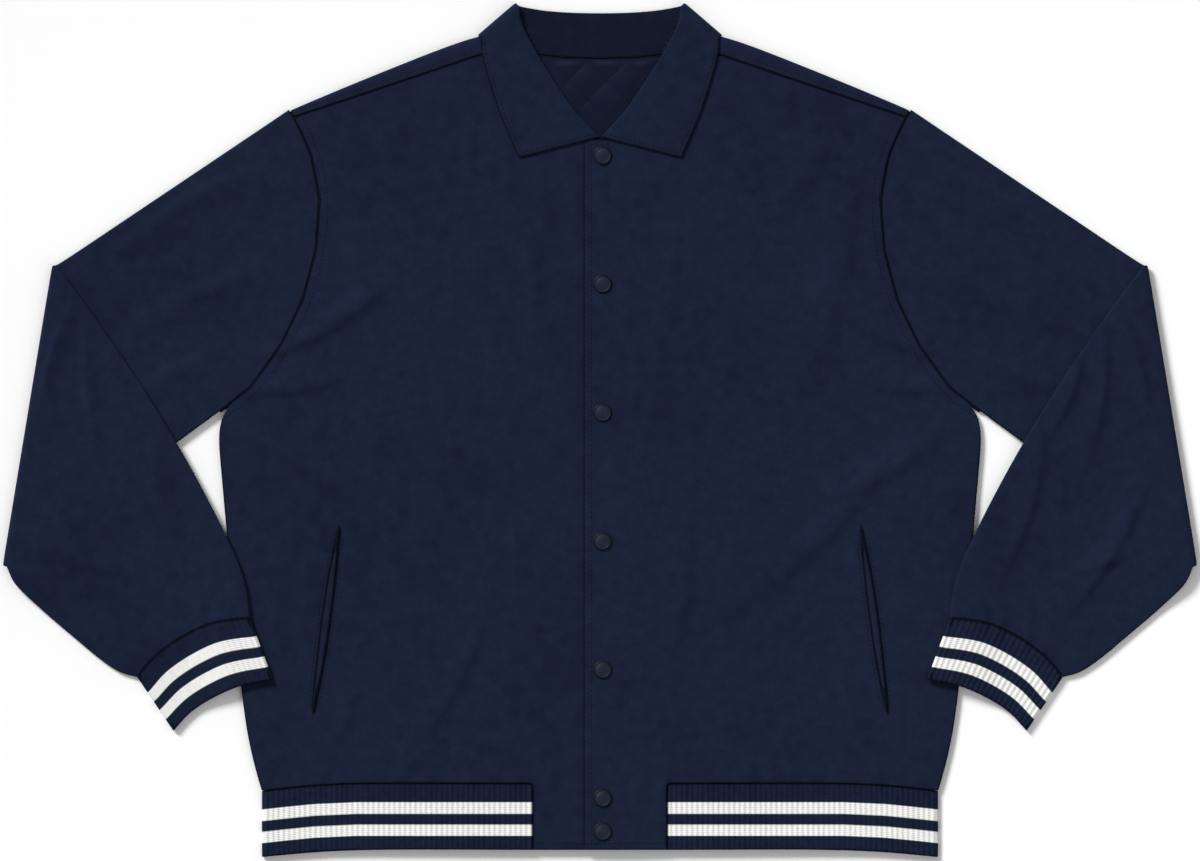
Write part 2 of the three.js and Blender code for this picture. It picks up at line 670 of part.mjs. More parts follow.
// Pocket welt: a lens that lies on the front, thickest along its middle.
function welt(side) {
  const rows = run(WELT, 8);
  const widths = new THREE.CatmullRomCurve3(WELT.map((w, i) => new THREE.Vector3(i, w.width, 0)));
  const lower = [];
  const upper = [];
  rows.forEach((p, i) => {
    const width = widths.getPoint(i / 8).y;
    const low = [];
    const top = [];
    [-1, 0, 1].forEach((u) => {
      const x = p.x + (u * width) / 2;
      const z = frontZ(x, p.y) + CLOTH + SEAM;
      low.push([-side * -x, p.y, z]);
      top.push([-side * -x, p.y, z + (u ? 1 : 1.8)]);
    });
    lower.push(low);
    upper.push(top);
  });
  return shell(upper, lower);
}

function snap(y) {
  const profile = table(["r", "z"], [[0, 0], [1, 0], [1, 0.3], [0.92, 0.72], [0.72, 0.86], [0.55, 1], [0, 1]]);
  const points = profile.map(({ r, z }) => new THREE.Vector2(r * SNAP_RADIUS, z * SNAP_HEIGHT));
  const geometry = new THREE.LatheGeometry(points, 20);
  geometry.rotateX(Math.PI / 2);
  const seat = Math.max(frontZ(SNAP_X, y), frontZ(0, y)) + lift(SNAP_X) + CLOTH + SEAM;
  geometry.translate(SNAP_X, y, seat);
  return geometry;
}

const cloth = new THREE.MeshStandardMaterial({ color: 0x1a2237, roughness: 0.92, metalness: 0 });
const rib = new THREE.MeshStandardMaterial({ color: 0x1c2540, roughness: 0.88, metalness: 0 });
const satin = new THREE.MeshStandardMaterial({ color: 0x14192c, roughness: 0.45, metalness: 0 });
const enamel = new THREE.MeshStandardMaterial({ color: 0x1a2237, roughness: 0.3, metalness: 0.6 });

const group = new THREE.Group();
function add(name, geometry, material) {
  const mesh = new THREE.Mesh(geometry, material);
  mesh.name = name;
  group.add(mesh);
}

add("back", backPanel(), cloth);
add("front_right", frontPanel(-1, UNDERLAP), cloth);
add("front_left", frontPanel(1, OVERLAP), cloth);
add("sleeve_right", sleeve(-1), cloth);
add("sleeve_left", sleeve(1), cloth);
add("cuff_right", cuff(-1), rib);
add("cuff_left", cuff(1), rib);
add("hem_rib", hemRib(), rib);
add("collar", collar(), cloth);
add("lining_back", liningBack(), satin);
add("welt_right", welt(1), cloth);
add("welt_left", welt(-1), cloth);
SNAPS.forEach(({ y }, i) => add(`snap_${i + 1}`, snap(y), enamel));

export default group;
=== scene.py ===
# %% [markdown]
# # A varsity jacket, laid flat
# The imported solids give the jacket's true form: thin cloth walls, small gaps at the seams, and sleeves
# folded forward at the elbow. This lesson dresses them. Each cloth solid is copied, rounded at its cut
# edges, smoothed and given soft creases. Then come the rib knit, the quilting, the snaps and the stitches.

# %% Load the solids
import math

import bmesh
import bpy
import numpy as np
from mathutils import Matrix, Vector
from mathutils.bvhtree import BVHTree
from mathutils.kdtree import KDTree


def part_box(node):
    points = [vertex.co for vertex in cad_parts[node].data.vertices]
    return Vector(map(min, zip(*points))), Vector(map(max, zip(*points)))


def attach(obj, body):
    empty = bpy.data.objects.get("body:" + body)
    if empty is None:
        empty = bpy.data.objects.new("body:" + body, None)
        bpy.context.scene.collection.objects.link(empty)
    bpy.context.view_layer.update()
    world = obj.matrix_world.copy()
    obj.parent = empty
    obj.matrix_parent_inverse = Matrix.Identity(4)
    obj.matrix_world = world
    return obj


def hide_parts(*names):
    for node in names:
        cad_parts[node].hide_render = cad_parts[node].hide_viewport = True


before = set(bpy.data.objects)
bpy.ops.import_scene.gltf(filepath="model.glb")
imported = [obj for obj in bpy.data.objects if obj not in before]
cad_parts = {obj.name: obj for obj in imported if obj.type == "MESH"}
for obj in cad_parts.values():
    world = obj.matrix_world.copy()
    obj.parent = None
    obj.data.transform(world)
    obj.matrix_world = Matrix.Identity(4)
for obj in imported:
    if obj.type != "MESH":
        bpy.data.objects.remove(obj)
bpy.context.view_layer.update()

MM = 0.001
print("solids:", len(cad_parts))

# %% [markdown]
# ## Camera
# The jacket is seen from straight above. An orthographic camera over its middle gives the true outline,
# where a perspective one would make the higher layers look larger than they are.

# %% Camera
FRAME_WIDTH = 1020 * MM
FRAME_CENTRE_Y = -0.4 * MM
CAMERA_HEIGHT = 2.5

camera_data = bpy.data.cameras.new("overhead")
camera_data.type = "ORTHO"
camera_data.ortho_scale = FRAME_WIDTH
camera = bpy.data.objects.new("overhead", camera_data)
camera.location = (0, FRAME_CENTRE_Y, CAMERA_HEIGHT)
bpy.context.scene.collection.objects.link(camera)
bpy.context.scene.camera = camera
print("camera frame:", FRAME_WIDTH, "m wide")

# %% [markdown]
# ## Light
# A soft key light from the upper left grazes the cloth, because low light is what makes nap, ribs and
# stitches readable on a very dark colour. A broad weak fill and a pale world keep the other side open.

# %% Lights
KEY_FROM, KEY_ENERGY, KEY_SOFTNESS = (-1.5, 1.7, 1.45), 3.7, math.radians(18)
FILL_FROM, FILL_ENERGY, FILL_SIZE = (1.8, -1.4, 2.4), 14, 2.4
WORLD_STRENGTH = 0.42


def aim(lamp, place):
    lamp.location = place
    lamp.rotation_euler = (-Vector(place)).to_track_quat("-Z", "Y").to_euler()
    bpy.context.scene.collection.objects.link(lamp)


key_data = bpy.data.lights.new("key", "SUN")
key_data.energy = KEY_ENERGY
key_data.angle = KEY_SOFTNESS
aim(bpy.data.objects.new("key", key_data), KEY_FROM)

fill_data = bpy.data.lights.new("fill", "AREA")
fill_data.size = FILL_SIZE
fill_data.energy = FILL_ENERGY
aim(bpy.data.objects.new("fill", fill_data), FILL_FROM)

world = bpy.data.worlds.new("studio")
world.use_nodes = True
world.node_tree.nodes["Background"].inputs["Color"].default_value = (1, 1, 1, 1)
world.node_tree.nodes["Background"].inputs["Strength"].default_value = WORLD_STRENGTH
bpy.context.scene.world = world
bpy.context.scene.view_settings.view_transform = "Standard"


# %% [markdown]
# ## Small helpers for node materials
# Every finish below is made of nodes, so three short helpers keep the cells readable: one adds a node with
# its values, one starts a material, and one sets the two colours of a ramp.

# %% Node helpers
def node(tree, kind, at=(0, 0), **values):
    made = tree.nodes.new(kind)
    made.location = at
    for key, value in values.items():
        if hasattr(made, key):
            setattr(made, key, value)
        else:
            made.inputs[key.replace("_", " ")].default_value = value
    return made


def new_material(name):
    material = bpy.data.materials.new(name)
    material.use_nodes = True
    tree = material.node_tree
    tree.nodes.clear()
    output = node(tree, "ShaderNodeOutputMaterial", (600, 0))
    shader = node(tree, "ShaderNodeBsdfPrincipled", (300, 0))
    tree.links.new(shader.outputs[0], output.inputs[0])
    return material, tree, shader


def two_tones(tree, at, dark, light, low=0.0, high=1.0):
    """A colour ramp that runs from a dark tone to a light one."""
    made = node(tree, "ShaderNodeValToRGB", at)
    first, last = made.color_ramp.elements
    first.position, last.position = low, high
    first.color, last.color = (*dark, 1), (*light, 1)
    return made


print("node helpers ready")

# %% [markdown]
# ## Floor
# The garment lies on a plain pale studio floor. A single large grid is enough, a hair below the cloth so that
# the two surfaces never flicker, with a very slow change of tone so it isn't one dead colour.

# %% Floor
FLOOR_HALF, FLOOR_DROP = 4, 0.4 * MM

floor_material, tree, shader = new_material("pale_floor")
coords = node(tree, "ShaderNodeTexCoord", (-600, 0))
grain = node(tree, "ShaderNodeTexNoise", (-400, 0), Scale=3.0)
tint = two_tones(tree, (-200, 0), (0.87, 0.87, 0.875), (0.9, 0.9, 0.9))
tree.links.new(coords.outputs["Object"], grain.inputs["Vector"])
tree.links.new(grain.outputs["Fac"], tint.inputs[0])
tree.links.new(tint.outputs[0], shader.inputs["Base Color"])
shader.inputs["Roughness"].default_value = 0.9
shader.inputs["Specular IOR Level"].default_value = 0.1


def to_object(bm, name, material):
    """The bmesh as an object of its own at the origin."""
    mesh = bpy.data.meshes.new(name)
    bm.to_mesh(mesh)
    bm.free()
    made = bpy.data.objects.new(name, mesh)
    made.data.materials.append(material)
    bpy.context.scene.collection.objects.link(made)
    return made


bm = bmesh.new()
bmesh.ops.create_grid(
    bm, x_segments=2, y_segments=2, size=FLOOR_HALF, matrix=Matrix.Translation((0, 0, -FLOOR_DROP))
)
floor = to_object(bm, "floor", floor_material)
print("floor:", 2 * FLOOR_HALF, "m square")

# %% [markdown]
# ## Woollen nap
# Melton is felted wool: no weave shows, only a short nap with tiny light and dark fibres and slow changes
# of depth. An image of felt would stretch over the folds, so the nap group below mixes three sizes of noise
# on Object coordinates. It puts out one mask for colour and one height for bump, and each material chooses
# how strongly to use them.

# %% Nap group
FIBRE_SHARE, MOTTLE_SHARE, DRIFT_SHARE = 0.3, 0.45, 0.25
FIBRE_HEIGHT = 0.7


def nap_group():
    group = bpy.data.node_groups.new("wool_nap", "ShaderNodeTree")
    face = group.interface
    for name, value in (("Fibre", 900.0), ("Mottle", 90.0), ("Drift", 6.0)):
        face.new_socket(name, in_out="INPUT", socket_type="NodeSocketFloat").default_value = value
    face.new_socket("Shade", in_out="OUTPUT", socket_type="NodeSocketFloat")
    face.new_socket("Height", in_out="OUTPUT", socket_type="NodeSocketFloat")
    inside = node(group, "NodeGroupInput", (-800, 0))
    outside = node(group, "NodeGroupOutput", (600, 0))
    place = node(group, "ShaderNodeTexCoord", (-800, -200))
    noises = []
    for k, (name, detail) in enumerate((("Fibre", 3.0), ("Mottle", 4.0), ("Drift", 2.0))):
        noise = node(group, "ShaderNodeTexNoise", (-500, -220 * k), Detail=detail, Roughness=0.6)
        group.links.new(inside.outputs[name], noise.inputs["Scale"])
        group.links.new(place.outputs["Object"], noise.inputs["Vector"])
        noises.append(noise.outputs["Fac"])
    fibre, mottle, drift = noises
    slow = node(group, "ShaderNodeMath", (-350, -500), operation="MULTIPLY")
    slow.inputs[1].default_value = DRIFT_SHARE
    group.links.new(drift, slow.inputs[0])
    middle = node(group, "ShaderNodeMath", (-200, 0), operation="MULTIPLY_ADD")
    middle.inputs[1].default_value = MOTTLE_SHARE
    group.links.new(mottle, middle.inputs[0])
    group.links.new(slow.outputs[0], middle.inputs[2])
    fine = node(group, "ShaderNodeMath", (0, 0), operation="MULTIPLY_ADD")
    fine.inputs[1].default_value = FIBRE_SHARE
    group.links.new(fibre, fine.inputs[0])
    group.links.new(middle.outputs[0], fine.inputs[2])
    group.links.new(fine.outputs[0], outside.inputs["Shade"])
    height = node(group, "ShaderNodeMath", (200, -300), operation="MULTIPLY_ADD")
    height.inputs[1].default_value = FIBRE_HEIGHT
    group.links.new(fibre, height.inputs[0])
    group.links.new(mottle, height.inputs[2])
    group.links.new(height.outputs[0], outside.inputs["Height"])
    return group


NAP = nap_group()
print("nap sockets:", [socket.name for socket in NAP.interface.items_tree])

# %% [markdown]
# ## Painted edge shade
# The cloth is painted darker beside every cut edge and seam: painted shade that stands in for the dark line
# where an edge turns over or a seam sinks. A dark strip of faces would need its own loops in every wall. A
# number
# stored at each point is simpler: it falls off with the distance from the edge, and the colour follows it.

# %% Painted edge shade
# How much of the cloth's colour gives way to painted shade at an edge, and the dark colour of that shade.
EDGE_SHADE_SHARE = 0.86
EDGE_SHADE_COLOUR = (0.0006, 0.0009, 0.0024, 1)


# Mixes the painted edge shade, read from the number stored at each point, into a colour.
def join_edge_shade(tree, colour, socket):
    painted_edge_shade = node(tree, "ShaderNodeAttribute", (-500, 400), attribute_name="painted_edge_shade")
    share = node(tree, "ShaderNodeMath", (-300, 400), operation="MULTIPLY")
    share.inputs[1].default_value = EDGE_SHADE_SHARE
    mix = node(tree, "ShaderNodeMix", (0, 300), data_type="RGBA")
    tree.links.new(painted_edge_shade.outputs["Fac"], share.inputs[0])
    tree.links.new(share.outputs[0], mix.inputs["Factor"])
    tree.links.new(colour, mix.inputs["A"])
    mix.inputs["B"].default_value = EDGE_SHADE_COLOUR
    tree.links.new(mix.outputs["Result"], socket)


print("pressed edges keep", round(1 - EDGE_SHADE_SHARE, 2), "of the cloth's colour")

# %% [markdown]
# ## Wool
# Three wools share the navy: the melton of the body, a darker tone inside the collar's stand that is painted
# shade, and a near-black wool whose darkness is painted shade along seams and pocket edges. They differ only in
# tone and in the depth of the nap, so one function makes all three. The gloss is almost nil, and a trace of
# bluish sheen lights the fibres at a low angle.

# %% Wool material
def wool(name, dark, light, bump=0.4):
    material, tree, shader = new_material(name)
    nap = node(tree, "ShaderNodeGroup", (-500, 0), node_tree=NAP)
    ramp = two_tones(tree, (-200, 100), dark, light, 0.36, 0.66)
    relief = node(tree, "ShaderNodeBump", (0, -200), Strength=bump, Distance=0.0004)
    tree.links.new(nap.outputs["Shade"], ramp.inputs[0])
    tree.links.new(nap.outputs["Height"], relief.inputs["Height"])
    # Painted edge shade darkens the wool beside its cut edges.
    join_edge_shade(tree, ramp.outputs[0], shader.inputs["Base Color"])
    tree.links.new(relief.outputs[0], shader.inputs["Normal"])
    shader.inputs["Roughness"].default_value = 0.92
    shader.inputs["Specular IOR Level"].default_value = 0.05
    shader.inputs["Sheen Weight"].default_value = 0.03
    shader.inputs["Sheen Roughness"].default_value = 0.6
    shader.inputs["Sheen Tint"].default_value = (0.5, 0.6, 1, 1)
    return material


MELTON = wool("navy_melton", (0.0050, 0.0086, 0.0235), (0.0098, 0.0155, 0.0375))
# Painted shade: a wool far darker than the melton, worn by the seam strips and pocket lips.
EDGE_SHADE_WOOL = wool("edge_shade_wool", (0.0014, 0.0022, 0.0060), (0.0034, 0.0052, 0.0130), bump=0.25)
# Painted shade: the darker tone given to the faces inside the collar's stand.
STAND_SHADE = wool("navy_stand_shade", (0.0032, 0.0050, 0.0130), (0.0066, 0.0095, 0.0245), bump=0.3)
print("wools:", MELTON.name, EDGE_SHADE_WOOL.name, STAND_SHADE.name)

# %% [markdown]
# ## Lines and distances
# Seams, cuff edges and stitch rows are all short tables of points in millimetres. A smooth curve through a
# table saves typing many points, and the distance from such a line decides how strong a crease, a stripe or
# a pressed edge is. All three helpers are plain arithmetic.

# %% Lines and distances
def smooth_chain(points, step=2.0):
    """A curve through the points, with a point of its own about every step millimetres."""
    done = [Vector((x, y, 0)) for x, y in points]
    padded = [2 * done[0] - done[1], *done, 2 * done[-1] - done[-2]]
    chain = []
    for p0, p1, p2, p3 in zip(padded, padded[1:], padded[2:], padded[3:]):
        count = max(2, int((p2 - p1).length / step))
        for k in range(count):
            t = k / count
            chain.append(0.5 * ((2 * p1) + (p2 - p0) * t + (2 * p0 - 5 * p1 + 4 * p2 - p3) * t * t
                                + (3 * p1 - p0 - 3 * p2 + p3) * t * t * t))
    return chain + [done[-1]]


def distance_to(chain, x, y):
    """How far each x, y is from the nearest stretch of a line."""
    best = np.full_like(x, 1e9)
    for (ax, ay), (bx, by) in zip(chain, chain[1:]):
        dx, dy = bx - ax, by - ay
        t = np.clip(((x - ax) * dx + (y - ay) * dy) / (dx * dx + dy * dy), 0, 1)
        best = np.minimum(best, np.hypot(x - ax - t * dx, y - ay - t * dy))
    return best


def blend_up(low, high, value):
    """0 below low, 1 above high and a soft step between."""
    t = np.clip((value - low) / (high - low), 0, 1)
    return t * t * (3 - 2 * t)


# Sewn and free edge of the right cuff, from the body side to the outer side.
CUFF_SEWN = [(-297.2, -159.7), (-314.8, -161.1), (-333.8, -165.1), (-358.2, -177.3), (-380, -193.5),
             (-393.6, -210)]
CUFF_FREE = [(-277.7, -212.1), (-304, -217.2), (-325.7, -226.1), (-347.4, -239.6), (-362.8, -255.9)]
CUFF_TOP = [(p.x, p.y) for p in smooth_chain(CUFF_SEWN, 6)]
CUFF_LOW = [(p.x, p.y) for p in smooth_chain(CUFF_FREE, 6)]
HEM_SEAM_Y = -300.7
print("cuff edges:", len(CUFF_TOP), "and", len(CUFF_LOW), "points")

# %% [markdown]
# ## Soft creases
# Real cloth never lies like card. A cloth simulation would drop the panels flat again and blur the outline,
# so the creases are placed one by one: a few soft ridges that run from the underarm and the elbow, and small
# puckers where the elastic rib draws in the cloth above it. One height field lifts every layer above the back
# together, so pieces that lie on each other keep their distance.

# %% Crease table
# Start, end, half width and height of each ridge in millimetres, on the wearer's right. The left mirrors it,
# stretched a little so the two sides don't match like a print.
RIDGES = [
    ("underarm_chest", (-292, 60), (-176, 128), 9, 3.1),
    ("underarm_mid", (-300, 34), (-214, 46), 8, 2.6),
    ("underarm_low", (-302, 4), (-196, -58), 10, 2.8),
    ("chest_fall", (-214, 206), (-170, 30), 13, 2.0),
    ("shoulder_drop", (-196, 262), (-142, 168), 11, 1.7),
    ("waist_sweep", (-246, -26), (-112, -150), 12, 2.2),
    ("hem_rise", (-158, -268), (-96, -150), 10, 2.2),
    ("hem_short", (-232, -276), (-206, -206), 8, 1.8),
    ("placket_lean", (-60, 172), (-46, 60), 9, 1.5),
    ("lower_lean", (-72, -70), (-54, -206), 10, 1.6),
    ("sleeve_upper", (-290, 222), (-414, 146), 10, 2.5),
    ("sleeve_mid", (-276, 140), (-398, 86), 10, 2.7),
    ("sleeve_under", (-322, 66), (-396, 30), 8, 2.3),
    ("elbow_fan_a", (-446, 112), (-476, 14), 7, 2.9),
    ("elbow_fan_b", (-436, 96), (-426, -18), 7, 2.7),
    ("elbow_fan_c", (-420, 72), (-388, -8), 6, 2.2),
    ("forearm_long", (-476, -40), (-398, -164), 9, 2.7),
    ("forearm_inner", (-384, -4), (-348, -124), 8, 2.4),
    ("forearm_cross", (-474, -96), (-404, -122), 7, 1.9),
]
print("ridges:", len(RIDGES))


# %% One ridge
def ridge_height(x, y, start, end, width, height):
    """A bowed ridge, steep on one side and gentle on the other, that fades at both ends."""
    a, b = np.array(start, float), np.array(end, float)
    run = b - a
    reach = np.hypot(*run)
    way = run / reach
    u = ((x - a[0]) * way[0] + (y - a[1]) * way[1]) / reach
    bow = 0.06 * reach * np.sin(np.pi * np.clip(u, 0, 1))
    v = (x - a[0]) * way[1] - (y - a[1]) * way[0] - bow
    ends = blend_up(-0.15, 0.35, u) * (1 - blend_up(0.6, 1.15, u))
    steep = np.where(v > 0, 0.5 * width, 1.35 * width)
    return height * ends * np.exp(-np.abs(v / steep) ** 1.8)


one = ridge_height(np.array([-234.0]), np.array([94.0]), *RIDGES[0][1:])
print("height half way along the first ridge:", round(float(one[0]), 2), "mm")

# %% Puckers above the ribs
PUCKER_HEIGHT = 1.7


def hem_puckers(x, y):
    above = y - HEM_SEAM_Y
    wave = 0.5 + 0.3 * np.sin(x / 4.6 + 1.3 * np.sin(x / 31)) + 0.2 * np.sin(x / 2.9 + 2)
    fade = blend_up(-16, 3, above) * np.exp(-np.clip(above, 0, None) / 26)
    return PUCKER_HEIGHT * wave * fade * blend_up(20, 44, np.abs(x)) * (1 - blend_up(240, 284, np.abs(x)))


def cuff_puckers(x, y):
    seam, low = distance_to(CUFF_TOP, x, y), distance_to(CUFF_LOW, x, y)
    on_cuff = low < 52
    u = np.hypot(x - CUFF_TOP[0][0], y - CUFF_TOP[0][1])
    wave = 0.5 + 0.3 * np.sin(u / 3.3 + 0.6) + 0.2 * np.sin(u / 2.1)
    fade = np.exp(-seam / np.where(on_cuff, 7, 24))
    return PUCKER_HEIGHT * wave * fade * blend_up(4, 18, u) * (1 - blend_up(90, 108, u)) * (y > -262)


print("puckers up to", PUCKER_HEIGHT, "mm")


# %% Crease height
def crease_height(x, y):
    """The sum of all ridges and puckers, calmed along the placket that the snaps hold flat."""
    side = np.where(x > 0, -x * 1.03 + 4, x)
    total = np.zeros_like(x)
    for _, start, end, width, height in RIDGES:
        total += ridge_height(side, y, start, end, width, height)
    total += hem_puckers(x, y)
    total += cuff_puckers(-np.abs(x), y)
    calm = 1 - np.exp(-(((x - 2) / 14) ** 2))
    return total * (0.25 + 0.75 * calm)


row = crease_height(np.linspace(-300.0, 300.0, 601), np.full(601, 60.0))
print("highest crease across the chest:", row.max().round(2), "mm")

# %% [markdown]
# ## Cloth from the solids
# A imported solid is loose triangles. A copy is merged, its triangles are joined back into the four-sided
# cells it was drawn with, and its cut edges are bevelled so they turn over as cloth does. Subdivision then
# smooths the wall, and the creases lift it. The solid itself isn't changed.

# %% Merged copy
MERGE_WITHIN = 0.00001


def merged_copy(name):
    bm = bmesh.new()
    bm.from_mesh(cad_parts[name].data)
    bmesh.ops.remove_doubles(bm, verts=bm.verts, dist=MERGE_WITHIN)
    bmesh.ops.join_triangles(
        bm, faces=bm.faces, angle_face_threshold=math.radians(35), angle_shape_threshold=math.radians(150)
    )
    return bm


def smoothed(made, level):
    """The object with its mesh subdivided for good, because the creases need the fine points."""
    subdivide = made.modifiers.new("smooth", "SUBSURF")
    subdivide.levels = subdivide.render_levels = level
    bpy.context.view_layer.update()
    seen = made.evaluated_get(bpy.context.evaluated_depsgraph_get())
    mesh = bpy.data.meshes.new_from_object(seen)
    made.modifiers.clear()
    made.data = mesh
    return made


print("points closer than", MERGE_WITHIN, "m are merged")

# %% Points and attributes
LAYER_FLOOR, LAYER_TOP = 2.05, 2.35


def points_of(mesh):
    """The points of a mesh in millimetres, one row each."""
    flat = np.empty(len(mesh.vertices) * 3)
    mesh.vertices.foreach_get("co", flat)
    return flat.reshape(-1, 3) / MM


def set_points(mesh, points):
    mesh.vertices.foreach_set("co", (points * MM).ravel())
    mesh.update()


def note_value(mesh, name, values):
    mesh.attributes.new(name, "FLOAT", "POINT").data.foreach_set("value", values)


def lift_creases(mesh):
    co = points_of(mesh)
    up = blend_up(LAYER_FLOOR, LAYER_TOP, co[:, 2])
    co[:, 2] += crease_height(co[:, 0], co[:, 1]) * up
    set_points(mesh, co)


print("creases lift what lies above", LAYER_TOP, "mm")

# %% Painted edge shade mask
EDGE_SHADE_NEAR, EDGE_SHADE_FAR = 0.55, 1.7


def sample_edges(edges, spacing=1.0):
    """A search tree of points along the edges, one about every spacing millimetres."""
    points = []
    for e in edges:
        a, b = (v.co for v in e.verts)
        count = max(1, int((b - a).length / MM / spacing))
        points.extend(a.lerp(b, k / count) for k in range(count + 1))
    tree = KDTree(len(points))
    for k, p in enumerate(points):
        tree.insert(p, k)
    tree.balance()
    return tree


# Stores the painted edge shade at each point: 1 at a cut edge, falling to 0 a little way in.
def note_edge_shade(mesh, rim):
    away = np.array([rim.find(v.co)[2] for v in mesh.vertices]) / MM
    note_value(mesh, "painted_edge_shade", 1 - blend_up(EDGE_SHADE_NEAR, EDGE_SHADE_FAR, away))


print("pressed from", EDGE_SHADE_NEAR, "to", EDGE_SHADE_FAR, "mm beside an edge")

# %% Soft piece
CUT_ANGLE = math.radians(58)


def soft_piece(node_name, name, material, rounding=0.95, level=3):
    bm = merged_copy(node_name)
    cut = [e for e in bm.edges if len(e.link_faces) == 2 and e.calc_face_angle() > CUT_ANGLE]
    rim = sample_edges(cut)
    bmesh.ops.bevel(
        bm, geom=cut, offset=rounding * MM, segments=2, profile=0.5, affect="EDGES", material=-1,
        clamp_overlap=True,
    )
    made = smoothed(to_object(bm, name, material), level)
    # Painted edge shade beside the rounded cut edges.
    note_edge_shade(made.data, rim)
    lift_creases(made.data)
    made.data.shade_smooth()
    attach(made, "root")
    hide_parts(node_name)
    print(name, len(made.data.polygons), "faces")
    return made


print("edges sharper than", round(math.degrees(CUT_ANGLE)), "degrees are rounded")

# %% [markdown]
# ## Body, sleeves, collar and welts
# These are the melton pieces that a tailor cuts from one cloth. All go through the same steps. The back hides
# under the fronts and the collar's solid is already fine, so both are smoothed one step less, which keeps
# every piece light. The thin welts get a smaller rounding.

# %% Panels, sleeves, collar and welts
back = soft_piece("back", "back_panel", MELTON, level=2)
front_right = soft_piece("front_right", "front_panel_right", MELTON)
front_left = soft_piece("front_left", "front_panel_left", MELTON)
sleeve_right = soft_piece("sleeve_right", "sleeve_cloth_right", MELTON)
sleeve_left = soft_piece("sleeve_left", "sleeve_cloth_left", MELTON)
collar = soft_piece("collar", "collar_cloth", MELTON, rounding=0.65, level=2)
welts = [
    soft_piece(f"welt_{side}", f"pocket_welt_{side}", MELTON, rounding=0.3, level=2)
    for side in ("right", "left")
]

# %% [markdown]
# ## Painted shade inside the stand
# The inside of the collar's stand is painted a darker tone than the fall, as painted shade inside the stand. A
# second piece of cloth would have to lie a hair above the first. Giving the faces inside the roll line their
# own material is enough.

# %% Painted shade inside the stand
ROLL_LINE = [(0, 249), (18.8, 268.3), (34, 289.6), (51.4, 317), (67.4, 347.3), (69.5, 362)]
STAND_FROM_Y, ROLL_MARGIN = 310, 1.2

# The second material is painted shade, a darker tone on the faces inside the stand.
collar.data.materials.append(STAND_SHADE)
roll_y = np.array([y for _, y in ROLL_LINE])
roll_x = np.array([x for x, _ in ROLL_LINE])
inside_faces = 0
for face in collar.data.polygons:
    x, y = abs(face.center.x) / MM, face.center.y / MM
    if y > STAND_FROM_Y and x < np.interp(y, roll_y, roll_x) - ROLL_MARGIN and face.normal.z > -0.2:
        face.material_index = 1
        inside_faces += 1
print("stand painted_shade:", inside_faces, "faces")

# %% [markdown]
# ## Rib knit
# Hem and cuffs are rib knit: raised ribs across the band with valleys between, and two white stripes knitted
# along it. The cuffs are curved, so stripes drawn on X and Y would run off them. Each point learns how deep
# it lies between the sewn edge and the free edge instead, and the stripes follow that number round the band.

# %% Depth across a band
HEM_DEPTH, CUFF_DEPTH = 56.2, 54
HEM_TOP = [(-288, -307), (-270, -305), (-242.9, -302.3), (-207.1, HEM_SEAM_Y), (0, HEM_SEAM_Y)]
HEM_LOW = [(x, y - HEM_DEPTH) for x, y in HEM_TOP]


def note_depth(mesh, top, low):
    co = points_of(mesh)
    x, y = -np.abs(co[:, 0]), co[:, 1]
    above, below = distance_to(top, x, y), distance_to(low, x, y)
    note_value(mesh, "depth", above / (above + below))


print("bands:", HEM_DEPTH, "and", CUFF_DEPTH, "mm deep")

# %% Rib material
ROW_PITCH = 1.5
STRIPE_EDGE = 0.006


def stripe_mask(tree, at, bands):
    """A ramp that is white inside the bands and black outside."""
    made = two_tones(tree, at, (0, 0, 0), (0, 0, 0))
    for low, high in bands:
        for place, value in ((low - STRIPE_EDGE, 0), (low + STRIPE_EDGE, 1),
                             (high - STRIPE_EDGE, 1), (high + STRIPE_EDGE, 0)):
            made.color_ramp.elements.new(place).color = (value, value, value, 1)
    return made


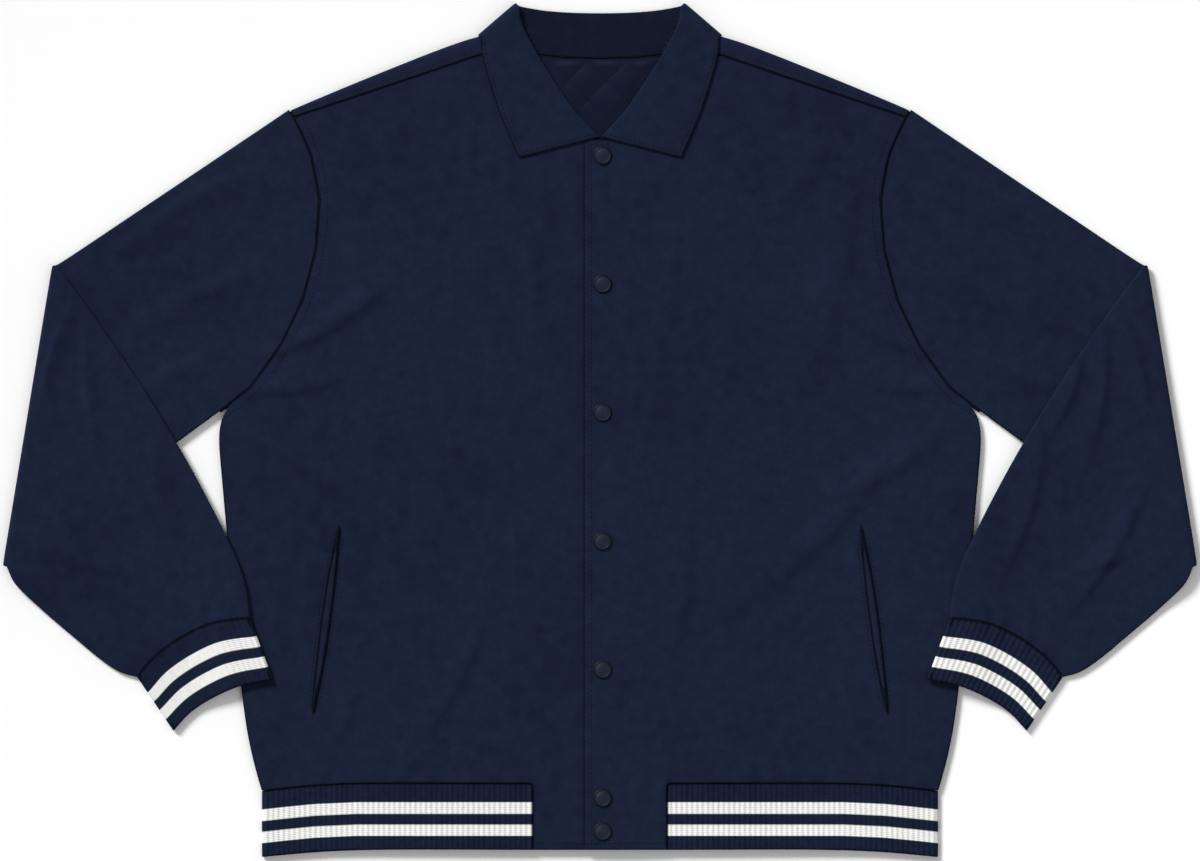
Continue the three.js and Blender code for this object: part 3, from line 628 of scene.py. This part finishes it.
def rib_knit(name, depth_mm, bands):
    material, tree, shader = new_material(name)
    link = tree.links.new
    depth = node(tree, "ShaderNodeAttribute", (-900, 0), attribute_name="depth")
    stripes = stripe_mask(tree, (-500, 100), bands)
    nap = node(tree, "ShaderNodeGroup", (-900, -300), node_tree=NAP)
    nap.inputs["Fibre"].default_value = 1400
    nap.inputs["Mottle"].default_value = 260
    navy = two_tones(tree, (-500, -100), (0.0048, 0.0082, 0.0225), (0.0102, 0.0160, 0.0385), 0.35, 0.68)
    white = two_tones(tree, (-500, -320), (0.66, 0.66, 0.64), (0.84, 0.84, 0.82), 0.3, 0.7)
    mix = node(tree, "ShaderNodeMix", (-100, 100), data_type="RGBA")
    link(depth.outputs["Fac"], stripes.inputs[0])
    link(nap.outputs["Shade"], navy.inputs[0])
    link(nap.outputs["Shade"], white.inputs[0])
    link(stripes.outputs[0], mix.inputs["Factor"])
    link(navy.outputs[0], mix.inputs["A"])
    link(white.outputs[0], mix.inputs["B"])
    # Painted edge shade darkens the knit beside its cut edges too.
    join_edge_shade(tree, mix.outputs["Result"], shader.inputs["Base Color"])
    rows = node(tree, "ShaderNodeMath", (-700, -500), operation="MULTIPLY")
    rows.inputs[1].default_value = depth_mm / ROW_PITCH * 2 * math.pi
    wave = node(tree, "ShaderNodeMath", (-500, -500), operation="SINE")
    knit = node(tree, "ShaderNodeMath", (-300, -400), operation="MULTIPLY_ADD")
    knit.inputs[1].default_value = 0.35
    relief = node(tree, "ShaderNodeBump", (0, -300), Strength=0.55, Distance=0.0005)
    link(depth.outputs["Fac"], rows.inputs[0])
    link(rows.outputs[0], wave.inputs[0])
    link(wave.outputs[0], knit.inputs[0])
    link(nap.outputs["Height"], knit.inputs[2])
    link(knit.outputs[0], relief.inputs["Height"])
    link(relief.outputs[0], shader.inputs["Normal"])
    shader.inputs["Roughness"].default_value = 0.88
    shader.inputs["Specular IOR Level"].default_value = 0.06
    return material


HEM_KNIT = rib_knit("hem_rib_knit", HEM_DEPTH, ((0.279, 0.453), (0.618, 0.787)))
CUFF_KNIT = rib_knit("cuff_rib_knit", CUFF_DEPTH, ((0.296, 0.465), (0.625, 0.793)))
print("knits:", HEM_KNIT.name, CUFF_KNIT.name)

# %% [markdown]
# ## Raised ribs
# The solids carry low ribs already, which smoothing would soften away. A wave that counts along the band
# raises them again: straight along X on the hem, and fanning out between the two ends on a cuff. Bump alone
# would vanish in the exported mesh, so the points themselves move.

# %% Raised ribs
RIB_RISE = 0.42
HEM_END_X, HEM_RUN, HEM_STEP = -57.15, 228.3, 2.238
CUFF_STEPS = 44
RIB_FLOOR, RIB_TOP = 2.1, 2.5


def raise_ribs(mesh, count_at):
    co = points_of(mesh)
    ribs = 0.5 - 0.5 * np.cos(math.pi * count_at(-np.abs(co[:, 0]), co[:, 1]))
    co[:, 2] += RIB_RISE * ribs * blend_up(RIB_FLOOR, RIB_TOP, co[:, 2])
    set_points(mesh, co)


def hem_count(x, y):
    return np.clip(HEM_END_X - x, 0, HEM_RUN) / HEM_STEP


def cuff_count(x, y):
    inner = distance_to([CUFF_TOP[0], CUFF_LOW[0]], x, y)
    outer = distance_to([CUFF_TOP[-1], CUFF_LOW[-1]], x, y)
    return CUFF_STEPS * inner / (inner + outer)


print("ribs on each half of the hem:", round(HEM_RUN / HEM_STEP / 2))

# %% [markdown]
# ## Hem and cuffs
# The bands are soft pieces like the panels, in knit instead of melton. On a cuff the painted edge shade is kept
# only at the sewn end and the free end: the fold at its sides is round, so the dark edge is taken off there.

# %% Hem and cuffs
# Keeps the painted edge shade only near the sewn end and the free end of a band.
def edge_shade_ends_only(mesh):
    depth, painted_edge_shade = np.empty(len(mesh.vertices)), np.empty(len(mesh.vertices))
    mesh.attributes["depth"].data.foreach_get("value", depth)
    mesh.attributes["painted_edge_shade"].data.foreach_get("value", painted_edge_shade)
    painted_edge_shade[(depth > 0.09) & (depth < 0.91)] = 0
    mesh.attributes["painted_edge_shade"].data.foreach_set("value", painted_edge_shade)


hem = soft_piece("hem_rib", "hem_rib_band", HEM_KNIT, rounding=0.5, level=2)
raise_ribs(hem.data, hem_count)
note_depth(hem.data, HEM_TOP, HEM_LOW)
cuffs = []
for side in ("right", "left"):
    cuff = soft_piece(f"cuff_{side}", f"cuff_rib_{side}", CUFF_KNIT, rounding=0.5, level=2)
    raise_ribs(cuff.data, cuff_count)
    note_depth(cuff.data, CUFF_TOP, CUFF_LOW)
    edge_shade_ends_only(cuff.data)
    cuffs.append(cuff)

# %% [markdown]
# ## Quilted lining
# Inside the neck the lining is satin quilted in diamonds. Each diamond is a small pillow between two rows of
# stitches, and the cloth gathers a little at the lines. Bump would look flat from the side, so a fine grid is
# lifted into pillows, cut to the shape of the opening with bisecting planes, and given its thickness last.

# %% Pillows
QUILT_PITCH = 33.1
QUILT_X, QUILT_Y = 6.1, 297.4
LINING_BASE, PILLOW_LOW, PILLOW_RISE = 4.2, 0.1, 1.35


def lining_height(x, y):
    """Flat under the collar's roll, and pillows inside it."""
    base = LINING_BASE - 0.03 * max(0.0, 285 - y)
    a = ((x - QUILT_X) + (y - QUILT_Y)) / QUILT_PITCH
    b = ((x - QUILT_X) - (y - QUILT_Y)) / QUILT_PITCH
    puff = abs(math.sin(math.pi * a) * math.sin(math.pi * b)) ** 0.55
    roll = 249 + 68 * min(1.0, abs(x) / 51.4) ** 1.1
    inside = float(blend_up(2, 16, y - roll) * (1 - blend_up(309, 315, y)))
    gather = 0.1 * math.sin(1.9 * x + 0.7 * y) * (1 - puff)
    return base + 1.2 + (PILLOW_LOW + PILLOW_RISE * inside) * puff + 0.6 * gather * inside


print("pillows:", QUILT_PITCH, "mm from corner to corner")

# %% Lining grid
LINING_OUTLINE = [(0, 238), (25, 260), (44, 284), (65, 306), (65, 315)]
GRID_WIDTH, GRID_DEPTH, GRID_MIDDLE_Y = 132, 79, 276.5

bm = bmesh.new()
bmesh.ops.create_grid(bm, x_segments=110, y_segments=66, size=0.5)
for v in bm.verts:
    x, y = v.co.x * GRID_WIDTH, GRID_MIDDLE_Y + v.co.y * GRID_DEPTH
    v.co = Vector((x, y, lining_height(x, y))) * MM
corners = LINING_OUTLINE + [(-x, y) for x, y in reversed(LINING_OUTLINE)][:-1]
for (ax, ay), (bx, by) in zip(corners, corners[1:] + corners[:1]):
    outward = Vector((by - ay, ax - bx, 0)).normalized()
    bmesh.ops.bisect_plane(
        bm, geom=bm.verts[:] + bm.edges[:] + bm.faces[:], plane_co=Vector((ax, ay, 0)) * MM, plane_no=outward,
        clear_outer=True,
    )
bmesh.ops.recalc_face_normals(bm, faces=bm.faces)
if sum(f.normal.z for f in bm.faces) < 0:
    bmesh.ops.reverse_faces(bm, faces=bm.faces)
print("lining faces:", len(bm.faces))

# %% [markdown]
# ## Satin
# Lining satin is smooth and dark, with a soft shine and fine threads across it. A glossy black would mirror
# the lamps, so the gloss is kept low: a fine wave gives the threads as bump, and a slow noise shifts the tone.

# %% Lining satin
SATIN, tree, shader = new_material("quilted_satin")
coords = node(tree, "ShaderNodeTexCoord", (-900, 0))
warp = node(tree, "ShaderNodeTexWave", (-600, 0), Scale=420.0, Distortion=1.2)
drift = node(tree, "ShaderNodeTexNoise", (-600, -300), Scale=60.0, Detail=3.0)
shade = two_tones(tree, (-300, 100), (0.0036, 0.0054, 0.0165), (0.0064, 0.0090, 0.0265))
relief = node(tree, "ShaderNodeBump", (-100, -200), Strength=0.25, Distance=0.0003)
tree.links.new(coords.outputs["Object"], warp.inputs["Vector"])
tree.links.new(coords.outputs["Object"], drift.inputs["Vector"])
tree.links.new(drift.outputs["Fac"], shade.inputs[0])
tree.links.new(warp.outputs["Fac"], relief.inputs["Height"])
tree.links.new(shade.outputs[0], shader.inputs["Base Color"])
tree.links.new(relief.outputs[0], shader.inputs["Normal"])
shader.inputs["Roughness"].default_value = 0.48
shader.inputs["Specular IOR Level"].default_value = 0.07
print("satin:", SATIN.name)

# %% Lining with its thickness
LINING_WALL = 1.1

lining = to_object(bm, "neck_lining", SATIN)
wall = lining.modifiers.new("wall", "SOLIDIFY")
wall.thickness = LINING_WALL * MM
wall.offset = -1
lining.data.shade_smooth()
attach(lining, "root")
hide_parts("lining_back")
print("lining wall:", LINING_WALL, "mm")

# %% [markdown]
# ## Snap caps
# A snap cap is a pressed metal disc: a rolled rim, a shallow groove and a low dome. A cylinder with a bevel
# would lack the groove, so its half profile is drawn once and spun about the middle, as a lathe would.

# %% Snap profile
CAP_PROFILE = [(0, 0.1), (7.1, 0.1), (7.6, 0.35), (7.75, 0.85), (7.5, 1.4), (6.9, 1.7), (6.3, 1.55),
               (5.9, 1.3), (5.5, 1.35), (4.4, 1.8), (2.6, 2.15), (0, 2.3)]
CAP_STEPS = 48


def snap_cap(centre):
    bm = bmesh.new()
    chain = [bm.verts.new(Vector((r, 0, z)) * MM) for r, z in CAP_PROFILE]
    edges = [bm.edges.new(pair) for pair in zip(chain, chain[1:])]
    bmesh.ops.spin(
        bm, geom=chain + edges, cent=(0, 0, 0), axis=(0, 0, 1), angle=2 * math.pi, steps=CAP_STEPS,
        use_merge=True,
    )
    bmesh.ops.remove_doubles(bm, verts=bm.verts, dist=0.000005)
    bmesh.ops.recalc_face_normals(bm, faces=bm.faces)
    bmesh.ops.translate(bm, verts=bm.verts, vec=centre)
    return bm


print("cap:", 2 * max(r for r, _ in CAP_PROFILE), "mm across")

# %% [markdown]
# ## Enamel
# The caps are enamelled in the colour of the cloth, with a darker rolled rim. A single flat colour would look
# like plastic, so a fine noise varies both the tone and the gloss, as small wear does. Dome and rim are two
# dyes of the same enamel.

# %% Enamel
def enamel(name, dark, light, smooth, rough):
    material, tree, shader = new_material(name)
    coords = node(tree, "ShaderNodeTexCoord", (-800, 0))
    wear = node(tree, "ShaderNodeTexNoise", (-600, 0), Scale=700.0, Detail=4.0)
    tone = two_tones(tree, (-300, 100), dark, light)
    gloss = node(tree, "ShaderNodeMapRange", (-300, -200))
    gloss.inputs["To Min"].default_value = smooth
    gloss.inputs["To Max"].default_value = rough
    tree.links.new(coords.outputs["Object"], wear.inputs["Vector"])
    tree.links.new(wear.outputs["Fac"], tone.inputs[0])
    tree.links.new(wear.outputs["Fac"], gloss.inputs["Value"])
    tree.links.new(tone.outputs[0], shader.inputs["Base Color"])
    tree.links.new(gloss.outputs[0], shader.inputs["Roughness"])
    shader.inputs["Specular IOR Level"].default_value = 0.18
    return material


ENAMEL = enamel("navy_enamel", (0.0050, 0.0084, 0.0230), (0.0092, 0.0145, 0.0350), 0.42, 0.55)
RIM = enamel("dark_rim", (0.0012, 0.0018, 0.0040), (0.0030, 0.0042, 0.0090), 0.4, 0.52)
print("enamels:", ENAMEL.name, RIM.name)

# %% [markdown]
# ## Caps on the placket
# Each cap sits where its solid is. The box of the solid gives the place, and the crease field under it the
# height, so no cap floats or sinks. Faces outside the groove get the rim's dye.

# %% Place the caps
SNAPS = 7
RIM_FROM, CAP_SINK = 6.35, 0.3

for k in range(1, SNAPS + 1):
    low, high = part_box(f"snap_{k}")
    middle = (low + high) / 2
    rise = float(crease_height(np.array([middle.x / MM]), np.array([middle.y / MM]))[0])
    bm = snap_cap(Vector((middle.x, middle.y, low.z + (rise - CAP_SINK) * MM)))
    cap = to_object(bm, f"snap_cap_{k}", ENAMEL)
    cap.data.materials.append(RIM)
    for face in cap.data.polygons:
        if math.hypot(face.center.x - middle.x, face.center.y - middle.y) > RIM_FROM * MM:
            face.material_index = 1
    cap.data.shade_smooth()
    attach(cap, "root")
    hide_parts(f"snap_{k}")
print("caps:", SNAPS)

# %% [markdown]
# ## Lines on the cloth
# Stitches, turned edges and pocket lips all follow seams. Their tables give the wearer's right side in
# millimetres, and the left is the same line mirrored. A ray from above finds the cloth under any point, so
# what is sewn on follows the creases.

# %% Seam tables
ARMHOLE = [(-264.4, 272.4), (-249.9, 244.8), (-241.4, 219.3), (-238, 191.3), (-238.9, 171.7),
           (-246.5, 129.2), (-256.7, 101.2), (-270.7, 73.1), (-286.8, 48.8), (-304.9, 28.7), (-326.4, 13.6)]
HEM_SEAM = [(-284, -306.6), (-270, -305), (-242.9, -302.3), (-225, -301.2), (-207.1, HEM_SEAM_Y),
            (-130, HEM_SEAM_Y), (-58.5, HEM_SEAM_Y)]
FALL_EDGE = [(-102.6, 333), (-100.8, 317), (-93.2, 292.7), (-83.3, 263.8), (-69.2, 231.3)]
FRONT_EDGE = [(-69.2, 231.3), (-1, 248.6)]
SHOULDER = [(-258, 266.6), (-216, 280.6), (-172, 295.4), (-133, 308.5), (-108, 317)]
# Middle of the slanted opening, with its width at each point.
WELT = [(-221.9, -82.7, 1), (-224.7, -102, 4), (-229, -132, 6.4), (-233, -161.2, 7), (-236.8, -190, 6.4),
        (-241.2, -220, 4), (-244, -239.7, 1)]
print("pocket opening:", round(WELT[0][1] - WELT[-1][1]), "mm long")


# %% Lines beside a line
def across(chain):
    """At each point of a line, the way square to it."""
    made = []
    for k in range(len(chain)):
        way = (chain[min(k + 1, len(chain) - 1)] - chain[max(k - 1, 0)]).normalized()
        made.append(Vector((-way.y, way.x, 0)))
    return made


def beside(chain, offset):
    return [p + offset * side for p, side in zip(chain, across(chain))]


def on_side(chain, sign):
    """The line as drawn for a sign of 1, and mirrored to the other side for -1."""
    return [Vector((sign * p.x, p.y, 0)) for p in chain]


def both(chain):
    return [chain, on_side(chain, -1)]


def pocket_side(sign, extra):
    """One edge of the lens-shaped opening, moved out by extra millimetres."""
    middle = smooth_chain([(x, y) for x, y, _ in WELT], 3)
    reach = np.interp([-p.y for p in middle], [-y for _, y, _ in WELT], [w / 2 for _, _, w in WELT])
    side = []
    for p, half, square in zip(middle, reach, across(middle)):
        end = min(p.y - WELT[-1][1], WELT[0][1] - p.y)
        out = float(half) + extra * min(1.0, max(0.0, end) / 14) ** 0.5
        side.append(p + sign * out * square)
    first, last = (middle[0] - middle[1]).normalized(), (middle[-1] - middle[-2]).normalized()
    return [middle[0] + extra * first, *side, middle[-1] + extra * last]


print("armhole seam:", len(smooth_chain(ARMHOLE)), "points")

# %% Find the cloth under a point
UP, DOWN = Vector((0, 0, 1)), Vector((0, 0, -1))
RAY_START = 0.1


def cloth_trees(cloths):
    return [
        BVHTree.FromPolygons([v.co.copy() for v in made.data.vertices],
                             [tuple(f.vertices) for f in made.data.polygons])
        for made in cloths
    ]


def first_hit(tree, x, y, way=DOWN):
    """Where a ray from above, or from below for UP, first meets the cloth, or None."""
    return tree.ray_cast(Vector((x * MM, y * MM, -RAY_START * way.z)), way)[0]


def cloth_top(trees, x, y):
    hits = [hit.z for hit in (first_hit(tree, x, y) for tree in trees) if hit is not None]
    return max(hits) if hits else None


print("top of the left front on the chest:", round(cloth_top(cloth_trees([front_left]), 120, 100) / MM, 2), "mm")

# %% [markdown]
# ## Stitches
# Rows of small tonal stitches hold the edges down. A dashed texture would have no height and a real thread
# would be thousands of loops. One stitch here is a tiny flattened ball of a few dozen faces, stretched along
# the row and half sunk in the cloth.

# %% Stitch maker
STITCH_LONG, STITCH_WIDE, STITCH_HIGH = 2.9, 0.72, 0.6
STITCH_GAP, STITCH_SINK = 1.2, 0.02


def one_stitch(bm, spot, z, way):
    matrix = (
        Matrix.Translation(Vector((spot.x * MM, spot.y * MM, z - STITCH_SINK * MM)))
        @ Matrix.Rotation(math.atan2(way.y, way.x), 4, "Z")
        @ Matrix.Diagonal((STITCH_LONG / 2 * MM, STITCH_WIDE / 2 * MM, STITCH_HIGH / 2 * MM, 1))
    )
    bmesh.ops.create_uvsphere(bm, u_segments=8, v_segments=5, radius=1, matrix=matrix)


def stitch_row(name, chains, on, material):
    trees = cloth_trees(on)
    bm = bmesh.new()
    count = 0
    for chain in chains:
        walked, due = 0.0, STITCH_GAP
        for p, q in zip(chain, chain[1:]):
            step = (q - p).length
            while step > 0 and walked + step >= due:
                spot = p.lerp(q, (due - walked) / step)
                z = cloth_top(trees, spot.x, spot.y)
                if z is not None:
                    one_stitch(bm, spot, z, (q - p).normalized())
                    count += 1
                due += STITCH_LONG + STITCH_GAP
            walked += step
    made = to_object(bm, name, material)
    made.data.shade_smooth()
    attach(made, "root")
    print(name, count, "stitches")
    return made


print("one stitch every", STITCH_LONG + STITCH_GAP, "mm")

# %% [markdown]
# ## Thread
# The thread is dyed a shade darker than the cloth. A fine wave of tone stands for its twisted plies. At this
# size a relief of its own wouldn't show, so there is none.

# %% Thread
THREAD, tree, shader = new_material("tonal_thread")
coords = node(tree, "ShaderNodeTexCoord", (-800, 0))
ply = node(tree, "ShaderNodeTexWave", (-600, 0), Scale=900.0, Distortion=0.5)
hue = two_tones(tree, (-300, 0), (0.0014, 0.0020, 0.0050), (0.0036, 0.0052, 0.0120))
tree.links.new(coords.outputs["Object"], ply.inputs["Vector"])
tree.links.new(ply.outputs["Fac"], hue.inputs[0])
tree.links.new(hue.outputs[0], shader.inputs["Base Color"])
shader.inputs["Roughness"].default_value = 0.6
shader.inputs["Specular IOR Level"].default_value = 0.1
print("thread:", THREAD.name)

# %% [markdown]
# ## Seam allowances
# Where two panels meet, their edges are turned in and pressed, so no light comes through a seam. Closing the
# gap between the panels would weld them into one. One round strip lies inside each long seam instead, halfway
# between the layers, in the near-black wool that paints shade along the seam. Its points look for the middle
# of the slot with rays, so it stays under the seam.

# %% Find the slot
SLOT_STEP, SLOT_REACH, SLOT_WIDEST = 0.05, 80, 1.0


def closer(chain, most=3.0):
    """The same line, with its points no further apart than the given millimetres."""
    walked = [chain[0]]
    for p, q in zip(chain, chain[1:]):
        parts = max(1, math.ceil((q - p).length / most))
        walked += [p.lerp(q, k / parts) for k in range(1, parts + 1)]
    return walked


def slot_middle(spot, side, trees):
    """The middle of the narrow slot between two panels near a spot, or the spot itself where there is none."""

    def is_open(k):
        at = spot + side * (k * SLOT_STEP)
        return all(first_hit(tree, at.x, at.y) is None for tree in trees)

    nearest = next((k for k in sorted(range(-SLOT_REACH, SLOT_REACH + 1), key=abs) if is_open(k)), None)
    if nearest is None:
        return spot
    low = high = nearest
    widest = int(SLOT_WIDEST / SLOT_STEP)
    while is_open(low - 1) and high - low < widest:
        low -= 1
    while is_open(high + 1) and high - low < widest:
        high += 1
    return spot if high - low >= widest else spot + side * ((low + high) / 2 * SLOT_STEP)


def on_slot(name, chain, trees):
    chain = closer(chain)
    ways = [(q - p).normalized() for p, q in zip(chain, chain[1:])]
    found = [
        slot_middle(p, Vector((-way.y, way.x, 0)), trees) for p, way in zip(chain, [*ways, ways[-1]])
    ]
    print(name, sum(p != q for p, q in zip(chain, found)), "of", len(chain), "points set on the slot")
    return found


print("slots are looked for", SLOT_REACH * SLOT_STEP, "mm to each side")


# %% Round strip
def round_strip(name, points, radius):
    """A curve with a round bevel through the points, made a mesh at once."""
    curve = bpy.data.curves.new(name, "CURVE")
    curve.dimensions = "3D"
    curve.bevel_depth = radius * MM
    curve.bevel_resolution = 2
    curve.use_fill_caps = True
    line = curve.splines.new("POLY")
    line.points.add(len(points) - 1)
    for point, place in zip(line.points, points):
        point.co = (*place, 1)
    drawn = bpy.data.objects.new(name + "_line", curve)
    bpy.context.scene.collection.objects.link(drawn)
    bpy.context.view_layer.update()
    mesh = bpy.data.meshes.new_from_object(drawn.evaluated_get(bpy.context.evaluated_depsgraph_get()))
    bpy.data.objects.remove(drawn)
    made = bpy.data.objects.new(name, mesh)
    made.data.materials.clear()
    # Every strip wears the near-black wool, painted shade that darkens seams and pocket edges.
    made.data.materials.append(EDGE_SHADE_WOOL)
    made.data.shade_smooth()
    bpy.context.scene.collection.objects.link(made)
    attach(made, "root")
    return made


print("round strips wear", EDGE_SHADE_WOOL.name)

# %% Turned allowances
BESIDE_SEAM = 1.8


def allowance(name, chain, on, radius=0.75):
    trees = cloth_trees(on)
    chain = on_slot(name, chain, trees)
    heights = []
    for p, square in zip(chain, across(chain)):
        side = square * BESIDE_SEAM
        tops, lows = [], []
        for spot in (p - side, p + side):
            for tree in trees:
                top, low = first_hit(tree, spot.x, spot.y), first_hit(tree, spot.x, spot.y, UP)
                if top is not None:
                    tops.append(top.z)
                    lows.append(low.z)
        heights.append((min(tops) + max(lows)) / 2 if tops else None)
    known = [h for h in heights if h is not None]
    usual = sum(known) / len(known)
    points = [(p.x * MM, p.y * MM, usual if h is None else h) for p, h in zip(chain, heights)]
    return round_strip(name, points, radius)


armhole_seam = smooth_chain(ARMHOLE)[1:-2]
hem_seam = [Vector((x, y, 0)) for x, y in HEM_SEAM]
cuff_seam = smooth_chain(CUFF_SEWN)[1:-1]
for side, sign, front, sleeve, cuff in (
    ("right", 1, front_right, sleeve_right, cuffs[0]),
    ("left", -1, front_left, sleeve_left, cuffs[1]),
):
    allowance(f"allowance_armhole_{side}", on_side(armhole_seam, sign), [front, back, sleeve], 1.2)
    allowance(f"allowance_hem_{side}", on_side(hem_seam, sign), [front, back, hem])
    allowance(f"allowance_cuff_{side}", on_side(cuff_seam, sign), [sleeve, cuff], 0.6)

# %% [markdown]
# ## Pocket lips
# Each edge of the slanted opening is a narrow turned lip that lies half sunk in the front. It is the same
# round strip as inside the seams, set on the cloth along the two sides of the opening, and its near-black wool
# is painted shade along the pocket's edges.

# %% Pocket lips
LIP_RADIUS, LIP_LIFT, LIP_OUT = 0.62, 0.25, 0.35

for side, mirror, front in (("right", 1, front_right), ("left", -1, front_left)):
    trees = cloth_trees([front])
    for place, sign in (("fore", 1), ("rear", -1)):
        lip = on_side(pocket_side(sign, LIP_OUT), mirror)
        points = [(p.x * MM, p.y * MM, cloth_top(trees, p.x, p.y) + LIP_LIFT * MM) for p in lip]
        round_strip(f"pocket_lip_{side}_{place}", points, LIP_RADIUS)
    print("pocket lips on the", side)

# %% [markdown]
# ## Sew the rows
# A row of topstitching runs a few millimetres inside each edge that a tailor would hold down: beside the
# armholes, round the collar, behind the shoulders, down the placket, along the tab, round the pockets and at
# the neck. Each is the seam's own line moved aside, so rows and seams can't drift apart.

# %% Sew the rows
PLACKET_ROW_X, PLACKET_TOP_Y, TAB_ROW_Y = -7.5, 243, -351.3
NECK_ROW_Y = 317.4


def straight(*points):
    return [Vector((x, y, 0)) for x, y in points]


armhole_row = beside(smooth_chain(ARMHOLE), 6.5)
fall_row = beside(smooth_chain(FALL_EDGE), 3.8)[2:-2]
edge_row = beside(smooth_chain(FRONT_EDGE), 3.8)[2:-1]
shoulder_row = beside(smooth_chain(SHOULDER), 5.0)
placket_row = straight((PLACKET_ROW_X, PLACKET_TOP_Y), (PLACKET_ROW_X, TAB_ROW_Y))
placket_top = straight((PLACKET_ROW_X, PLACKET_TOP_Y), (9, PLACKET_TOP_Y))
tab_row = straight((-54, TAB_ROW_Y), (54, TAB_ROW_Y))
neck_row = straight((-47, NECK_ROW_Y), (47, NECK_ROW_Y))
pocket_rows = [row for sign in (-1, 1) for row in both(pocket_side(sign, 3.0))]
fronts = [front_right, front_left]
stitch_row("stitches_armhole", both(armhole_row), fronts, THREAD)
stitch_row("stitches_collar", both(fall_row) + both(edge_row), [collar], THREAD)
stitch_row("stitches_shoulder", both(shoulder_row), [back], THREAD)
stitch_row("stitches_placket", [placket_row, placket_top], [front_left], THREAD)
stitch_row("stitches_tab", [tab_row], fronts, THREAD)
stitch_row("stitches_pockets", pocket_rows, fronts, THREAD)
stitch_row("stitches_neck", [neck_row], [back, collar], THREAD)

# %% [markdown]
# ## Quilting rows
# The diamonds of the lining are sewn along two sets of slanting lines. They pass through the corners of the
# pillows, so they are worked out from the same pitch and middle. Where a line leaves the lining, no cloth is
# found and no stitch is made.

# %% Quilting rows
QUILT_LINES, QUILT_HALF = 4, 80

quilt_rows = []
for k in range(-QUILT_LINES, QUILT_LINES + 1):
    for slope in (1, -1):
        middle = Vector((QUILT_X + k * QUILT_PITCH, QUILT_Y, 0))
        steps = range(-QUILT_HALF, QUILT_HALF + 1, 2)
        quilt_rows.append([middle + Vector((d, slope * d, 0)) for d in steps])
stitch_row("stitches_quilting", quilt_rows, [lining], THREAD)

# %% [markdown]
# ## Cloth pieces
# Every cloth piece is a sheet that was cut flat. The sleeves are folded at the elbow and the collar along its
# roll, and the rest is laid.

print("cloth pieces done")
